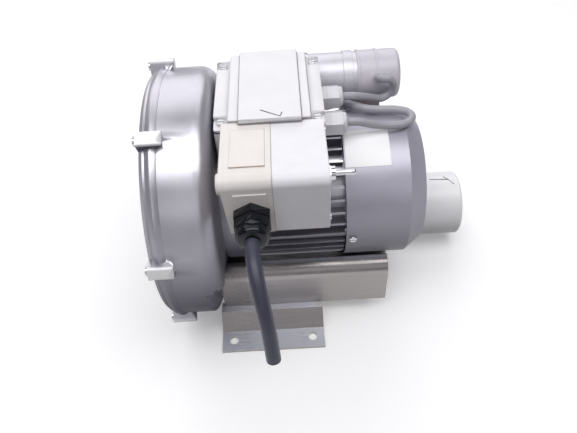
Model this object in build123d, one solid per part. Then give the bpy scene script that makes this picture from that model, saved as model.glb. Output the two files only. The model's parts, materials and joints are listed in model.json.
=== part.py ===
from build123d import *
import os
from math import cos, radians, sin, sqrt, tan

# Side channel blower: an impeller in a round casing, carried on the shaft of a fan cooled motor,
# with a silencer box under the motor and a sheet metal foot.
# Frame: +X along the shaft from the blower to the fan, +Z up, z = 0 under the foot,
# origin at the centre of the four foot holes. Millimetres.
# Sizes run outwards: stator, housing, fins, fan cover, ports, side channel, casing, floor.

os.makedirs("parts", exist_ok=True)

# ---- driving dimensions -------------------------------------------------------------------

# motor
CASE_BACK_X = -38.0         # machined face that the motor flange bolts to
STATOR_BORE_R = 31.0
STATOR_DEPTH = 21.0         # radial thickness of the stator core
STATOR_SLOTS = 24
AIR_GAP = 0.5
WINDING_OVERHANG = 12.0
CORE_LENGTH = 50.0
CORE_SETBACK = 20.0         # from the drive bearing to the core
HOUSING_WALL = 6.5
HOUSING_LENGTH = 118.0      # from the casing face to the rear end shield
SPIGOT_REACH = 4.0          # centring spigot of the housing in the casing
FLANGE_THICKNESS = 16.0
FLANGE_RISE = 0.5           # flange over the tips of the fins
FIN_HEIGHT = 11.0
FIN_THICKNESS = 2.2
FIN_PITCH = 10              # degrees
FIN_SETBACK = 4.0
TIE_ANGLES = (64, 184, 304)
TIE_R = 2.5
TIE_RISE = 4.0              # tie bolts' centres outside the housing
TIE_WALL = 2.2
TIE_HEAD_FLATS = 8.0
TIE_HEAD = 3.5
SHIELD_THICKNESS = 6.0
EAR_WIDTH = 14.0

# shaft and bearings
SHAFT_IMPELLER_R = 7.5
SHAFT_BEARING_R = 8.5
SHAFT_SHOULDER_R = 10.5
SHAFT_CORE_R = 12.0
SHAFT_FAN_R = 7.0
SHAFT_SCREW_R = 3.0
KEY_WIDTH = 5.0
BEARING_R = 20.0
BEARING_WIDTH = 12.0
BEARING_SETBACK = 2.0
BALL_R = 3.2
BALLS = 7
BALL_PLAY = 0.06
CAGE_HALF = 1.1             # half the cage's radial thickness
SEAL_R = 14.0
SEAL_WIDTH = 6.0
SHAFT_PLAY = 0.05

# fan and fan cover
FAN_TIP_GAP = 10.9
FAN_BLADES = 8
FAN_BLADE = 2.0
FAN_LENGTH = 28.0
FAN_SETBACK = 6.0           # from the rear bearing to the fan
FAN_HUB_WALL = 5.0
FAN_HUB_LENGTH = 20.0
SHEET = 1.3
COVER_AIR = 1.4             # passage between the fins and the fan cover
COVER_OVERLAP = 3.1         # fan cover over the end of the housing
FAN_COVER_LENGTH = 59.2
FAN_CONE_LENGTH = 16.0
FAN_CONE_DROP = 12.4
GRILLE_RINGS = 5
GRILLE_SPOKES = 6
GRILLE_SPOKE = 5.0
GRILLE_SLOT = 4.6
GRILLE_PITCH = 8.6
GRILLE_FIRST_R = 17.0
COVER_SCREW_R = 2.0
COVER_SCREW_HEAD_R = 3.8
COVER_SCREW_HEAD = 2.0

# ports
PORT_R = 15.15              # minor radius of the G1 pipe thread
PORT_Y = 42.0
PORT_GAP = 1.8              # between the ports' bushes and the fan cover
BUSH_FLANGE_R = 20.0
BUSH_FLANGE = 8.0
BUSH_NECK_R = 16.6
BUSH_NECK = 11.0
LINER_WALL = 1.2
LINER_SLOTS = 4
LINER_SLOT = 16.0
LINER_SLOT_WIDTH = 4.0
PIPE_BORE_R = 14.0
PIPE_GRIP = 20.0            # length of pipe inside the socket
SOCKET_R = 35.7
SOCKET_BORE_R = 31.6        # takes a 63 mm pipe
SOCKET_GAP = 3.9            # from the fan cover to the socket
SOCKET_LENGTH = 61.0
SOCKET_DEPTH = 38.0
SOCKET_RIM_ROUND = 3.0

# blower casing and its cover
CHANNEL_HEIGHT = 40.0
CHANNEL_DEPTH = 12.5
CHANNEL_CORNER = 1.0        # channel's depth less the round of its corners
CHAMBER_STEP = 1.2          # from the channel's outside to the bore that the impeller turns in
CASE_WALL = 7.1
CASE_DEPTH = 58.5           # from the motor's face to the front of the cover
CASE_SKIN = 6.0             # wall behind the channel
CASE_WEB = 8.0              # centre wall of the casing
BACK_FILLET = 15.0          # round edge at the back of the casing
FLOOR_GAP = 4.7
COVER_RIM = 12.5            # depth of the cover at its rim
COVER_INSET = 0.8           # cover's rim inside the casing's
COVER_SPIGOT = 3.0          # length by which the cover enters the chamber
SPIGOT_PLAY = 0.1
COVER_SKIN = 5.0
COVER_DOME_R = 17.0
COVER_DOME_BACK = 4.0
COVER_RIBS = 7
COVER_RIB = 3.2
INTERRUPTER_HALF_ANGLE = 15.0
RIM_GROOVE = 1.6            # depth of the groove round the joint
RIM_GROOVE_WIDTH = 4.6
LUGS = 7
LUG_START_ANGLE = 12.9      # degrees from +Y towards +Z
LUG_WIDTH = 12.5
LUG_ROOT = 7.0
LUG_RISE = 9.2              # lugs above the rim
LUG_ROUND = 1.6
LUG_REACH = 9.0             # length of the casing's half of each lug
LUG_SCREW_R = 2.5
LUG_SCREW_RISE = 3.2
LUG_SCREW_SEAT = 2.5
LUG_HEAD_R = 4.4
LUG_HEAD = 4.8
LUG_SOCKET_R = 2.4

# impeller
IMPELLER_GAP = 0.5          # running gap on each side and at the rim
IMPELLER_BLADES = 34
BLADE_THICKNESS = 2.2
BLADE_WEB = 3.0             # disc between the two rows of blades
IMPELLER_DISC = 6.0
ROOT_RING = 8.0
ROOT_SLOPE = 13.0
HUB_R = 19.0
HUB_RECESS = 2.5            # hub's end behind the blades' face
WASHER_R = 11.0
WASHER = 2.0

# silencer
SILENCER_HALF_WIDTH = 71.0
SILENCER_ABOVE_PORT = 33.0
SILENCER_BELOW_PORT = 23.0
SHOULDER_R = 15.0
HOLLOW_GAP = 3.3            # between the silencer's top and the fan cover's line
NECK_LENGTH = 15.0
NECK_OVERLAP = 8.0
NECK_WALL = 5.0
HOOD_LENGTH = 138.0
HOOD_SHEET = 1.5
HOOD_TAB = 5.0
END_PLATE = 3.0

# foot bracket
FOOT_HOLES_X = 83.0
FOOT_HOLES_Y = 205.0
FOOT_HOLE_R = 4.75
FOOT_MARGIN_X = 12.2
FOOT_MARGIN_Y = 12.6
FOOT_BEND_INSET = 11.5
FOOT_SHEET = 3.0
FOOT_SHOULDER = 6.5         # platform beyond the silencer
FOOT_NOTCH_INSET = 11.5
FOOT_NOTCH_GAP = 0.6
FOOT_CHAMFER_X = 9.0
FOOT_CHAMFER_Y = 7.0
FOOT_SCREW_R = 3.0
FOOT_SCREW_HALF = 18.0
FOOT_SCREW_FLATS_R = 5.5
FOOT_NUT_R = 5.8

# terminal box on top of the motor
BOX_SETBACK = 3.0           # from the casing's face
BOX_LENGTH = 95.0
BOX_Y0 = -40.0
BOX_WIDTH = 98.0
BOX_BACK_STEP = 7.7         # back wall inside the lid's edge
BOX_RISE = 2.5              # floor over the motor housing
BOX_HEIGHT = 43.0
BOX_WALL = 3.0
BOX_CORNER = 3.0
WING_HEIGHT = 6.0
STEP_HEIGHT = 6.0
PANEL_HEIGHT = 3.5
STEP_INSET = (13.0, 12.0)
PANEL_INSET = (22.0, 20.0)
PANEL_OVERHANG = 8.0
POCKET_DEPTH = 4.0
POCKET_WIDTH = 15.0
GASKET = 1.0
LID_SCREW_INSET_X = 6.0
LID_SCREW_INSET_Y = (9.0, 7.0)
LID_SCREW_R = 2.0
LID_SCREW_HEAD_R = 3.4
LID_SCREW_HEAD = 2.6
BOX_SCREW_HEAD_R = 3.6
PAD_INSET = 6.0
PAD_END_INSET = 8.0
BOX_SCREW_INSET = 11.0
WIRE_HOLE_X = 45.0          # from the box's end
WIRE_HOLE_R = 9.0
BLOCK_SIZE = (60.0, 24.0, 12.0)
BLOCK_INSET = (17.0, 46.0)
BLOCK_FIN = 8.0
STUD_PITCH = (20.0, 12.0)
STUD_R = 2.0
STUD_NUT_R = 4.0
STUD_NUT = 3.2
STUD_HEIGHT = 9.0
LINK_R = 9.5                # hollow bush between the two boxes
LINK_WALL = 2.0
LINK_INSET = 35.4
LINK_HEIGHT = 20.0

# cable glands on the terminal box
GLAND_INSET = (25.5, 64.0)
GLAND_HEIGHT = 27.0
GLAND_FLATS = 20.0
GLAND_STEM_R = 8.0
GLAND_BODY = 6.0
GLAND_NUT = 15.0
GLAND_DOME = 4.0
LEAD_D = 7.4

# capacitors
RUN_R = 23.1
RUN_GAP = 1.8               # from the box's back wall
RUN_HEIGHT = 15.0           # axis over the box's floor
RUN_INSET = 71.0
RUN_LENGTH = 89.0
BOOT_START = 63.0           # from the can's first end
BOOT_END = 105.0
BOOT_WALL = 0.9
BOOT_LIP = 2.5
BOOT_FLOOR = 4.5
BOOT_BEAD_X = 81.0
NIPPLE = 1.5
NIPPLE_WALL = 1.2
BOOT_ENTRY = 82.0
BOOT_ENTRY_ANGLE = 155.0    # degrees from +Y towards +Z, round the capacitor
START_R = 14.2
START_SHIFT_Y = 7.8
START_GAP = 2.2
START_SHIFT_X = 48.0
START_LENGTH = 41.0
BAND = 1.2
BAND_WIDTH = 9.0
BAND_SHIFT_X = 11.0
BAND_FOOT = 28.0
STRAP_SHIFT_X = 54.0

# switch box in front of the terminal box
SWITCH_INSET = 7.6
SWITCH_GAP = 0.6
SWITCH_LEFT = 40.9          # length of the left half
SWITCH_END_INSET = 1.8
SWITCH_DEPTH = 71.8
SWITCH_BELOW_BOX = 3.0
SWITCH_UNDER_LID = 2.0
SWITCH_WALL = 2.6
SWITCH_ROUND = 8.5
SWITCH_DRAFT = 4.0          # the left wall leans in by this much at the bottom
SWITCH_STEP = 0.4           # right half inside the left one
SWITCH_STEM_R = 4.0
SWITCH_SCREW_R = 1.5
SWITCH_SCREW_HEAD_R = 2.8
SWITCH_SCREW_HEAD = 1.2
SWITCH_SCREW_INSET = 7.0
LIP_OUT = 2.2               # rolled front edge, proud of the left wall
PANEL_RAISE = 1.0

# toggle switch
TOGGLE_INSET = 30.4
TOGGLE_HEIGHT = 33.0
TOGGLE_PIVOT = 2.6          # pivot's distance outside the wall
BUSH_R = 6.0
BUSH_REACH = 6.0
TOGGLE_NUT_FLATS = 14.0
TOGGLE_NUT = 2.4
LEVER_BALL_R = 3.0
LEVER_ROOT_R = 1.6
LEVER_TIP_R = 2.7
LEVER_LENGTH = 21.0
LEVER_PLAY = 0.08
LEVER_TAIL_R = 1.2
SWITCH_BODY = (24.0, 16.0, 30.0)
TERMINAL_PITCH = 9.0
TERMINAL_REACH = 6.0

# supply gland and cord
SUPPLY_INSET = 23.4
SUPPLY_HEIGHT = 20.0
SUPPLY_FLATS = 26.0
SUPPLY_STEM_R = 8.0
SUPPLY_BODY = 9.0
SUPPLY_NUT = 18.6
SUPPLY_HEX = 9.0
CORD_D = 11.8

# ---- places worked out from the driving dimensions -------------------------------------------

HOUSING_BORE_R = STATOR_BORE_R + STATOR_DEPTH
HOUSING_R = HOUSING_BORE_R + HOUSING_WALL
FIN_TIP_R = HOUSING_R + FIN_HEIGHT
FLANGE_R = FIN_TIP_R + FLANGE_RISE
TIE_CIRCLE_R = HOUSING_R + TIE_RISE
FAN_COVER_R = FIN_TIP_R + COVER_AIR + SHEET
EAR_R = FAN_COVER_R - SHEET                           # ears that the fan cover slides over
FAN_COVER_END_R = FAN_COVER_R - FAN_CONE_DROP
FAN_R = EAR_R - FAN_TIP_GAP
PORT_CIRCLE_R = FAN_COVER_R + PORT_GAP + BUSH_FLANGE_R
CHANNEL_INNER_R = PORT_CIRCLE_R - CHANNEL_HEIGHT / 2
CHANNEL_OUTER_R = PORT_CIRCLE_R + CHANNEL_HEIGHT / 2
CHAMBER_R = CHANNEL_OUTER_R + CHAMBER_STEP
CASE_R = CHAMBER_R + CASE_WALL
LUG_TIP_R = CASE_R + LUG_RISE
LUG_CIRCLE_R = CASE_R + LUG_SCREW_RISE
AXIS_H = CASE_R + FLOOR_GAP                           # height of the shaft above the floor

COVER_FACE_X = CASE_BACK_X - CASE_DEPTH
JOINT_X = COVER_FACE_X + COVER_RIM
LAND_X = JOINT_X + COVER_SPIGOT                       # cover's face next to the impeller
CHAMBER_BACK_X = CASE_BACK_X - CASE_SKIN - CHANNEL_DEPTH    # casing's face next to the impeller
RECESS_X = CHAMBER_BACK_X + CASE_WEB
IMPELLER_X0 = LAND_X + IMPELLER_GAP
IMPELLER_X1 = CHAMBER_BACK_X - IMPELLER_GAP
HUB_X0 = IMPELLER_X0 + HUB_RECESS
HOUSING_END_X = CASE_BACK_X + HOUSING_LENGTH
FLANGE_END_X = CASE_BACK_X + FLANGE_THICKNESS
DRIVE_BEARING_X = CASE_BACK_X + BEARING_SETBACK
REAR_BEARING_X = HOUSING_END_X - BEARING_SETBACK
CORE_START_X = DRIVE_BEARING_X + BEARING_WIDTH + CORE_SETBACK
CORE_END_X = CORE_START_X + CORE_LENGTH
FAN_X0 = REAR_BEARING_X + BEARING_WIDTH + FAN_SETBACK
SHAFT_END_X = FAN_X0 + FAN_LENGTH
FAN_COVER_START_X = HOUSING_END_X - COVER_OVERLAP
COVER_BEND_X = FAN_COVER_START_X + FAN_COVER_LENGTH
COVER_END_X = COVER_BEND_X + FAN_CONE_LENGTH
EAR_SCREW_X = HOUSING_END_X + SHIELD_THICKNESS / 2

PORT_Z = AXIS_H - sqrt(PORT_CIRCLE_R ** 2 - PORT_Y ** 2)
SILENCER_TOP_Z = PORT_Z + SILENCER_ABOVE_PORT
FOOT_TOP_Z = PORT_Z - SILENCER_BELOW_PORT
HOLLOW_R = FAN_COVER_R + HOLLOW_GAP                   # hollow of the silencer's top round the motor
HOOD_START_X = CASE_BACK_X + NECK_LENGTH
HOOD_END_X = HOOD_START_X + HOOD_LENGTH
NECK_END_X = HOOD_START_X + NECK_OVERLAP
HOOD_BASE_Z = FOOT_TOP_Z + HOOD_SHEET
SOCKET_START_X = COVER_END_X + SOCKET_GAP
SOCKET_END_X = SOCKET_START_X + SOCKET_LENGTH
PIPE_END_X = SOCKET_START_X + PIPE_GRIP
FOOT_WIDTH = FOOT_HOLES_X + 2 * FOOT_MARGIN_X
FOOT_OUTER_Y = FOOT_HOLES_Y / 2 + FOOT_MARGIN_Y
FOOT_BEND_Y = FOOT_HOLES_Y / 2 - FOOT_BEND_INSET
FOOT_TOP_HALF = SILENCER_HALF_WIDTH + FOOT_SHOULDER

BOX_X0 = CASE_BACK_X + BOX_SETBACK
BOX_X1 = BOX_X0 + BOX_LENGTH
BOX_Y1 = BOX_Y0 + BOX_WIDTH
BOX_BACK_WALL_Y = BOX_Y1 - BOX_BACK_STEP
BOX_FLOOR_Z = AXIS_H + HOUSING_R + BOX_RISE
BOX_JOINT_Z = BOX_FLOOR_Z + BOX_HEIGHT
LID_Z = BOX_JOINT_Z + GASKET
WING_Z = LID_Z + WING_HEIGHT
STEP_Z = WING_Z + STEP_HEIGHT
PANEL_Z = STEP_Z + PANEL_HEIGHT
POCKET_Z = WING_Z - POCKET_DEPTH
STEP_X = (BOX_X0 + STEP_INSET[0], BOX_X1 - STEP_INSET[1])
PANEL_X = (BOX_X0 + PANEL_INSET[0], BOX_X1 - PANEL_INSET[1])
PAD_Y = (BOX_Y0 + PAD_INSET, BOX_BACK_WALL_Y - PAD_INSET)
PAD_END_X = BOX_X1 - PAD_END_INSET
WIRE_X = BOX_X0 + WIRE_HOLE_X
GLAND_Y = (BOX_Y0 + GLAND_INSET[0], BOX_Y0 + GLAND_INSET[1])
GLAND_Z = BOX_FLOOR_Z + GLAND_HEIGHT

RUN_Y = BOX_BACK_WALL_Y + RUN_R + RUN_GAP
RUN_Z = BOX_FLOOR_Z + RUN_HEIGHT
RUN_X0 = BOX_X0 + RUN_INSET
RUN_X1 = RUN_X0 + RUN_LENGTH
BOOT_X0 = RUN_X0 + BOOT_START
BOOT_X1 = RUN_X0 + BOOT_END
START_Y = RUN_Y + START_SHIFT_Y
START_Z = RUN_Z - RUN_R - START_R - START_GAP
START_X0 = RUN_X0 + START_SHIFT_X
BAND_X = RUN_X0 + BAND_SHIFT_X
STRAP_X = RUN_X0 + STRAP_SHIFT_X

SWITCH_X0 = BOX_X0 + SWITCH_INSET
SWITCH_SEAM_X = SWITCH_X0 + SWITCH_LEFT
SWITCH_X1 = BOX_X1 - SWITCH_END_INSET
SWITCH_Y1 = BOX_Y0 - SWITCH_GAP
SWITCH_Y0 = SWITCH_Y1 - SWITCH_DEPTH
SWITCH_Z0 = BOX_FLOOR_Z - SWITCH_BELOW_BOX
SWITCH_Z1 = STEP_Z - SWITCH_UNDER_LID
SWITCH_SCREWS = ((SWITCH_Y0 + SWITCH_SCREW_INSET, SWITCH_Z0 + SWITCH_SCREW_INSET),
                 (SWITCH_Y1 - SWITCH_SCREW_INSET, SWITCH_Z1 - SWITCH_SCREW_INSET))
LINK_X = SWITCH_X0 + LINK_INSET
LINK_Z = BOX_FLOOR_Z + LINK_HEIGHT
TOGGLE_Y = SWITCH_Y0 + TOGGLE_INSET
TOGGLE_Z = SWITCH_Z0 + TOGGLE_HEIGHT
PIVOT_X = SWITCH_X1 + TOGGLE_PIVOT
SUPPLY_X = SWITCH_X0 + SUPPLY_INSET
SUPPLY_Z = SWITCH_Z0 + SUPPLY_HEIGHT
SHAFT_AXIS = Axis((0, 0, AXIS_H), (1, 0, 0))
SHAFT_PLANE = Plane(origin=(0, 0, AXIS_H), x_dir=(1, 0, 0), z_dir=(0, -1, 0))


# ---- helpers ------------------------------------------------------------------------------

def rod(radius, start, end):
    """Solid cylinder between two points."""
    reach = Vector(*end) - Vector(*start)
    return extrude(Plane(origin=start, z_dir=reach) * Circle(radius), amount=reach.length)


def bar(radius, x0, x1, y=0.0, z=AXIS_H):
    """Solid cylinder along X, on the shaft's axis unless another is given."""
    return rod(radius, (x0, y, z), (x1, y, z))


def sleeve(outer, inner, x0, x1, y=0.0, z=AXIS_H):
    """Tube along X."""
    return bar(outer, x0, x1, y, z) - bar(inner, x0, x1, y, z)


def block(x0, x1, y0, y1, z0, z1):
    """Box between two corners."""
    size = (x1 - x0, y1 - y0, z1 - z0)
    return Pos((x0 + x1) / 2, (y0 + y1) / 2, (z0 + z1) / 2) * Box(*size)


def turned(points, arc=360):
    """Solid of revolution about the shaft, from corners given as (x, radius)."""
    return revolve(SHAFT_PLANE * Polygon(*points, align=None), SHAFT_AXIS, arc)


def spin(shape, angle):
    """Turn a shape about the shaft."""
    return Pos(0, 0, AXIS_H) * Rot(angle, 0, 0) * Pos(0, 0, -AXIS_H) * shape


def radial(shape, angle):
    """Carry a shape drawn straight above the shaft to an angle from +Y towards +Z."""
    return spin(shape, angle - 90)


def polar_point(x, radius, angle):
    """Point at a distance from the shaft, at an angle from +Y towards +Z."""
    turn = radians(angle)
    return (x, radius * cos(turn), AXIS_H + radius * sin(turn))


def hexagon(across_flats, start, end):
    """Hexagon bar between two points, with one corner up."""
    reach = Vector(*end) - Vector(*start)
    plane = Plane(origin=start, x_dir=(0, 0, 1), z_dir=reach)
    return extrude(plane * RegularPolygon(across_flats / sqrt(3), 6), amount=reach.length)


def section_x(sketch, x0, x1):
    """Extrude a section drawn as (y, z) along X."""
    plane = Plane(origin=(x0, 0, 0), x_dir=(0, 1, 0), z_dir=(1, 0, 0))
    return extrude(plane * sketch, amount=x1 - x0, dir=(1, 0, 0))


def bend_radii(points):
    """Largest arcs that fit a cord's runs: 0.45 of the shorter run at each turn."""
    radii = []
    for before, corner, after in zip(points, points[1:], points[2:]):
        run_in = Vector(*corner) - Vector(*before)
        run_out = Vector(*after) - Vector(*corner)
        turn = radians(run_in.get_angle(run_out))
        radii.append(0.45 * min(run_in.length, run_out.length) / tan(turn / 2))
    return radii


def cord(name, points, diameter):
    """Round cord along straight runs joined by tangent arcs."""
    radii = bend_radii(points)
    path = FilletPolyline(*points, radius=radii)
    section = Plane(origin=path @ 0, z_dir=path % 0) * Circle(diameter / 2)
    tube = sweep(section, path=path)
    print(name, "length", round(path.length, 1), "radii", [round(r, 1) for r in radii])
    print(name, "volume over section times length", round(tube.volume / section.area / path.length, 4))
    return tube


def group(shapes):
    """Separate solids kept together in one node."""
    return Compound(children=[solid for shape in shapes for solid in shape.solids()])


# ---- blower -------------------------------------------------------------------------------

def side_channel(face_x, depth):
    """Ring shaped flow channel, open towards face_x and stopped by the interrupter at the bottom."""
    radial_width = CHANNEL_OUTER_R - CHANNEL_INNER_R
    centre = (face_x + depth / 2, (CHANNEL_OUTER_R + CHANNEL_INNER_R) / 2)
    section = Pos(*centre) * Rectangle(abs(depth), radial_width)
    corners = section.vertices().sort_by(Axis.X)
    bottom = corners[2:] if depth > 0 else corners[:2]
    section = fillet(bottom, CHANNEL_DEPTH - CHANNEL_CORNER)
    channel = revolve(SHAFT_PLANE * section, SHAFT_AXIS, 360 - 2 * INTERRUPTER_HALF_ANGLE)
    return spin(channel, 180 + INTERRUPTER_HALF_ANGLE)


def lug_angles():
    """Places of the lugs round the rim, the lowest one left out over the foot."""
    angles = [LUG_START_ANGLE + 360 * index / LUGS for index in range(LUGS)]
    return [angle for angle in angles if abs(angle - 270) > 180 / LUGS / 2]


def lug(x0, x1, angle):
    """Square boss on the rim for one cover screw."""
    boss = block(x0, x1, -LUG_WIDTH / 2, LUG_WIDTH / 2, AXIS_H + CASE_R - LUG_ROOT, AXIS_H + LUG_TIP_R)
    top_edges = boss.edges().filter_by(Axis.X).sort_by(Axis.Z)[-2:]
    return radial(fillet(top_edges, LUG_ROUND), angle)


def rim_groove():
    """Shallow V that runs round the joint between the casing and its cover."""
    half = RIM_GROOVE_WIDTH / 2
    return turned([(JOINT_X - half, CASE_R + 1), (JOINT_X - half, CASE_R), (JOINT_X, CASE_R - RIM_GROOVE),
                   (JOINT_X + half, CASE_R), (JOINT_X + half, CASE_R + 1)])


def casing():
    body = turned([
        (JOINT_X, 0), (CASE_BACK_X, 0), (CASE_BACK_X, CASE_R), (JOINT_X, CASE_R),
    ])
    back_edge = body.edges().filter_by(GeomType.CIRCLE).sort_by(Axis.X)[-1]
    body = fillet(back_edge, BACK_FILLET) - rim_groove()
    for angle in lug_angles():
        body += lug(JOINT_X, JOINT_X + LUG_REACH, angle)
    body -= bar(CHAMBER_R, JOINT_X, CHAMBER_BACK_X)
    body -= side_channel(CHAMBER_BACK_X, CHANNEL_DEPTH)
    body -= bar(HOUSING_R, RECESS_X, CASE_BACK_X)
    body -= bar(SEAL_R, RECESS_X - SEAL_WIDTH, RECESS_X)
    body -= bar(SHAFT_SHOULDER_R, CHAMBER_BACK_X, RECESS_X)
    for side in (-PORT_Y, PORT_Y):
        body -= bar(PORT_R, CHAMBER_BACK_X + 2, CASE_BACK_X, side, PORT_Z)
    for angle in lug_angles():
        start = polar_point(JOINT_X, LUG_CIRCLE_R, angle)
        end = polar_point(JOINT_X + LUG_REACH - 1, LUG_CIRCLE_R, angle)
        body -= rod(LUG_SCREW_R, start, end)
    return body


def casing_cover():
    rim_r = CASE_R - COVER_INSET
    recess_r = CHANNEL_INNER_R - ROOT_RING
    dome_x = JOINT_X - COVER_DOME_BACK
    spigot_r = CHAMBER_R - SPIGOT_PLAY
    body = turned([
        (LAND_X, COVER_DOME_R - 2), (dome_x, COVER_DOME_R - 4), (dome_x, 0),
        (dome_x - COVER_SKIN, 0), (dome_x - COVER_SKIN, COVER_DOME_R),
        (LAND_X - COVER_SKIN, COVER_DOME_R + 4), (LAND_X - COVER_SKIN, recess_r),
        (COVER_FACE_X, recess_r + 6), (COVER_FACE_X, rim_r - 3.6), (COVER_FACE_X + 3.2, rim_r - 0.6),
        (COVER_FACE_X + 8, rim_r), (JOINT_X, rim_r), (JOINT_X, spigot_r), (LAND_X, spigot_r),
    ]) - rim_groove()
    for index in range(COVER_RIBS):
        rib = block(COVER_FACE_X + 2, LAND_X - COVER_SKIN, -COVER_RIB / 2, COVER_RIB / 2,
                    AXIS_H + COVER_DOME_R - 2, AXIS_H + recess_r + 5)
        body += radial(rib, LUG_START_ANGLE + 360 * index / COVER_RIBS)
    for angle in lug_angles():
        body += lug(COVER_FACE_X, JOINT_X, angle)
    body -= side_channel(LAND_X, -CHANNEL_DEPTH + 0.8)
    for angle in lug_angles():
        start = polar_point(COVER_FACE_X, LUG_CIRCLE_R, angle)
        seat = polar_point(COVER_FACE_X + LUG_SCREW_SEAT, LUG_CIRCLE_R, angle)
        end = polar_point(JOINT_X, LUG_CIRCLE_R, angle)
        body -= rod(LUG_HEAD_R + 0.2, start, seat)
        body -= rod(LUG_SCREW_R, seat, end)
    return body


def cover_screws():
    screws = []
    for angle in lug_angles():
        head = polar_point(COVER_FACE_X + LUG_SCREW_SEAT - LUG_HEAD, LUG_CIRCLE_R, angle)
        seat = polar_point(COVER_FACE_X + LUG_SCREW_SEAT, LUG_CIRCLE_R, angle)
        tip = polar_point(JOINT_X + LUG_REACH - 2, LUG_CIRCLE_R, angle)
        socket = Plane(origin=head, z_dir=(1, 0, 0)) * RegularPolygon(LUG_SOCKET_R, 6)
        screws.append(rod(LUG_HEAD_R, head, seat) + rod(LUG_SCREW_R, seat, tip)
                      - extrude(socket, amount=LUG_HEAD / 2))
    return group(screws)


def impeller():
    middle = (IMPELLER_X0 + IMPELLER_X1) / 2
    tip_r = CHAMBER_R - IMPELLER_GAP
    web_half = BLADE_WEB / 2
    disc_half = IMPELLER_DISC / 2
    root_r = CHANNEL_INNER_R
    ring_r = CHANNEL_INNER_R - ROOT_RING
    body = turned([
        (HUB_X0, SHAFT_IMPELLER_R), (IMPELLER_X1, SHAFT_IMPELLER_R), (IMPELLER_X1, HUB_R - 2),
        (middle + disc_half, HUB_R + 2), (middle + disc_half, ring_r - 4), (IMPELLER_X1, ring_r),
        (IMPELLER_X1, root_r), (middle + 4.5, root_r + 5), (middle + web_half, root_r + ROOT_SLOPE),
        (middle + web_half, tip_r), (middle - web_half, tip_r), (middle - web_half, root_r + ROOT_SLOPE),
        (middle - 4.5, root_r + 5), (IMPELLER_X0, root_r), (IMPELLER_X0, ring_r),
        (middle - disc_half, ring_r - 4), (middle - disc_half, HUB_R + 2), (HUB_X0, HUB_R - 2),
    ])
    blade = block(IMPELLER_X0, IMPELLER_X1, -BLADE_THICKNESS / 2, BLADE_THICKNESS / 2,
                  AXIS_H + root_r - 2, AXIS_H + tip_r - 0.2)
    blades = [spin(blade, 360 * index / IMPELLER_BLADES) for index in range(IMPELLER_BLADES)]
    body = body + blades
    return body - key_seat(SHAFT_IMPELLER_R + 2.3, HUB_X0, IMPELLER_X1)


def key_seat(top_r, x0, x1):
    """Space of a parallel key above the shaft."""
    return block(x0, x1, -KEY_WIDTH / 2, KEY_WIDTH / 2,
                 AXIS_H + SHAFT_IMPELLER_R - 3, AXIS_H + top_r)


def impeller_key():
    return key_seat(SHAFT_IMPELLER_R + 2, HUB_X0 + 1.5, IMPELLER_X1 - 2)


def impeller_washer():
    return sleeve(WASHER_R, SHAFT_SCREW_R + 0.1, HUB_X0 - WASHER, HUB_X0)


def impeller_screw():
    seat_x = HUB_X0 - WASHER
    head = hexagon(10.0, (seat_x - 4, 0, AXIS_H), (seat_x, 0, AXIS_H))
    return head + bar(SHAFT_SCREW_R, seat_x, HUB_X0 + 14)


def shaft_seal():
    return sleeve(SEAL_R, SHAFT_BEARING_R + SHAFT_PLAY, RECESS_X - SEAL_WIDTH, RECESS_X)


# ---- silencer and foot ----------------------------------------------------------------------

def silencer_section(inset, base_z=FOOT_TOP_Z):
    """Section under the motor: flat base, upright sides, round shoulders, top hollowed round the motor."""
    half = SILENCER_HALF_WIDTH - inset
    top_z = SILENCER_TOP_Z - inset
    outline = Pos(0, (top_z + base_z) / 2) * Rectangle(2 * half, top_z - base_z)
    shoulders = outline.vertices().sort_by(Axis.Y)[-2:]
    outline = fillet(shoulders, SHOULDER_R - inset)
    return outline - Pos(0, AXIS_H) * Circle(HOLLOW_R + inset)


def ports(radius, x0, x1):
    """The two bores through the silencer, one for each port."""
    return [bar(radius, x0, x1, side, PORT_Z) for side in (-PORT_Y, PORT_Y)]


def silencer_manifold():
    """Cast neck that carries the two ports from the casing to the silencer."""
    body = section_x(silencer_section(0.4), CASE_BACK_X, HOOD_START_X)
    body += section_x(silencer_section(HOOD_SHEET + 0.2), HOOD_START_X, NECK_END_X)
    pocket = section_x(silencer_section(HOOD_SHEET + NECK_WALL, FOOT_TOP_Z + NECK_WALL + 1),
                       CASE_BACK_X + NECK_WALL + 1, NECK_END_X)
    walls = ports(PORT_R + 4, CASE_BACK_X, NECK_END_X)
    envelope = section_x(silencer_section(HOOD_SHEET + 0.2), CASE_BACK_X, NECK_END_X)
    tubes = (walls[0] + walls[1]) & envelope
    body = body - pocket - hood_tabs() + tubes
    for bore in ports(PORT_R, CASE_BACK_X, NECK_END_X):
        body -= bore
    for x, y in manifold_screw_places():
        body -= rod(FOOT_SCREW_R, (x, y, FOOT_TOP_Z), (x, y, FOOT_TOP_Z + NECK_WALL + 1))
    return body


def manifold_screw_places():
    x = (CASE_BACK_X + HOOD_START_X) / 2
    return [(x, -FOOT_SCREW_HALF), (x, FOOT_SCREW_HALF)]


def base_screw_places():
    x = FOOT_WIDTH / 2 - 22.0
    return [(x, -FOOT_SCREW_HALF), (x, FOOT_SCREW_HALF)]


def hood_tabs():
    """Two tabs at the hood's lower corners, let into the neck's sides."""
    tabs = []
    for side in (-1, 1):
        y0, y1 = sorted((side * SILENCER_HALF_WIDTH, side * (SILENCER_HALF_WIDTH - HOOD_SHEET)))
        tabs.append(block(HOOD_START_X - HOOD_TAB, HOOD_START_X, y0, y1, FOOT_TOP_Z, FOOT_TOP_Z + HOOD_TAB))
    return tabs


def silencer_hood():
    """Bent sheet over the silencer, open underneath."""
    shell = silencer_section(0) - silencer_section(HOOD_SHEET, FOOT_TOP_Z - 1)
    return section_x(shell, HOOD_START_X, HOOD_END_X) + hood_tabs()


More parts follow.
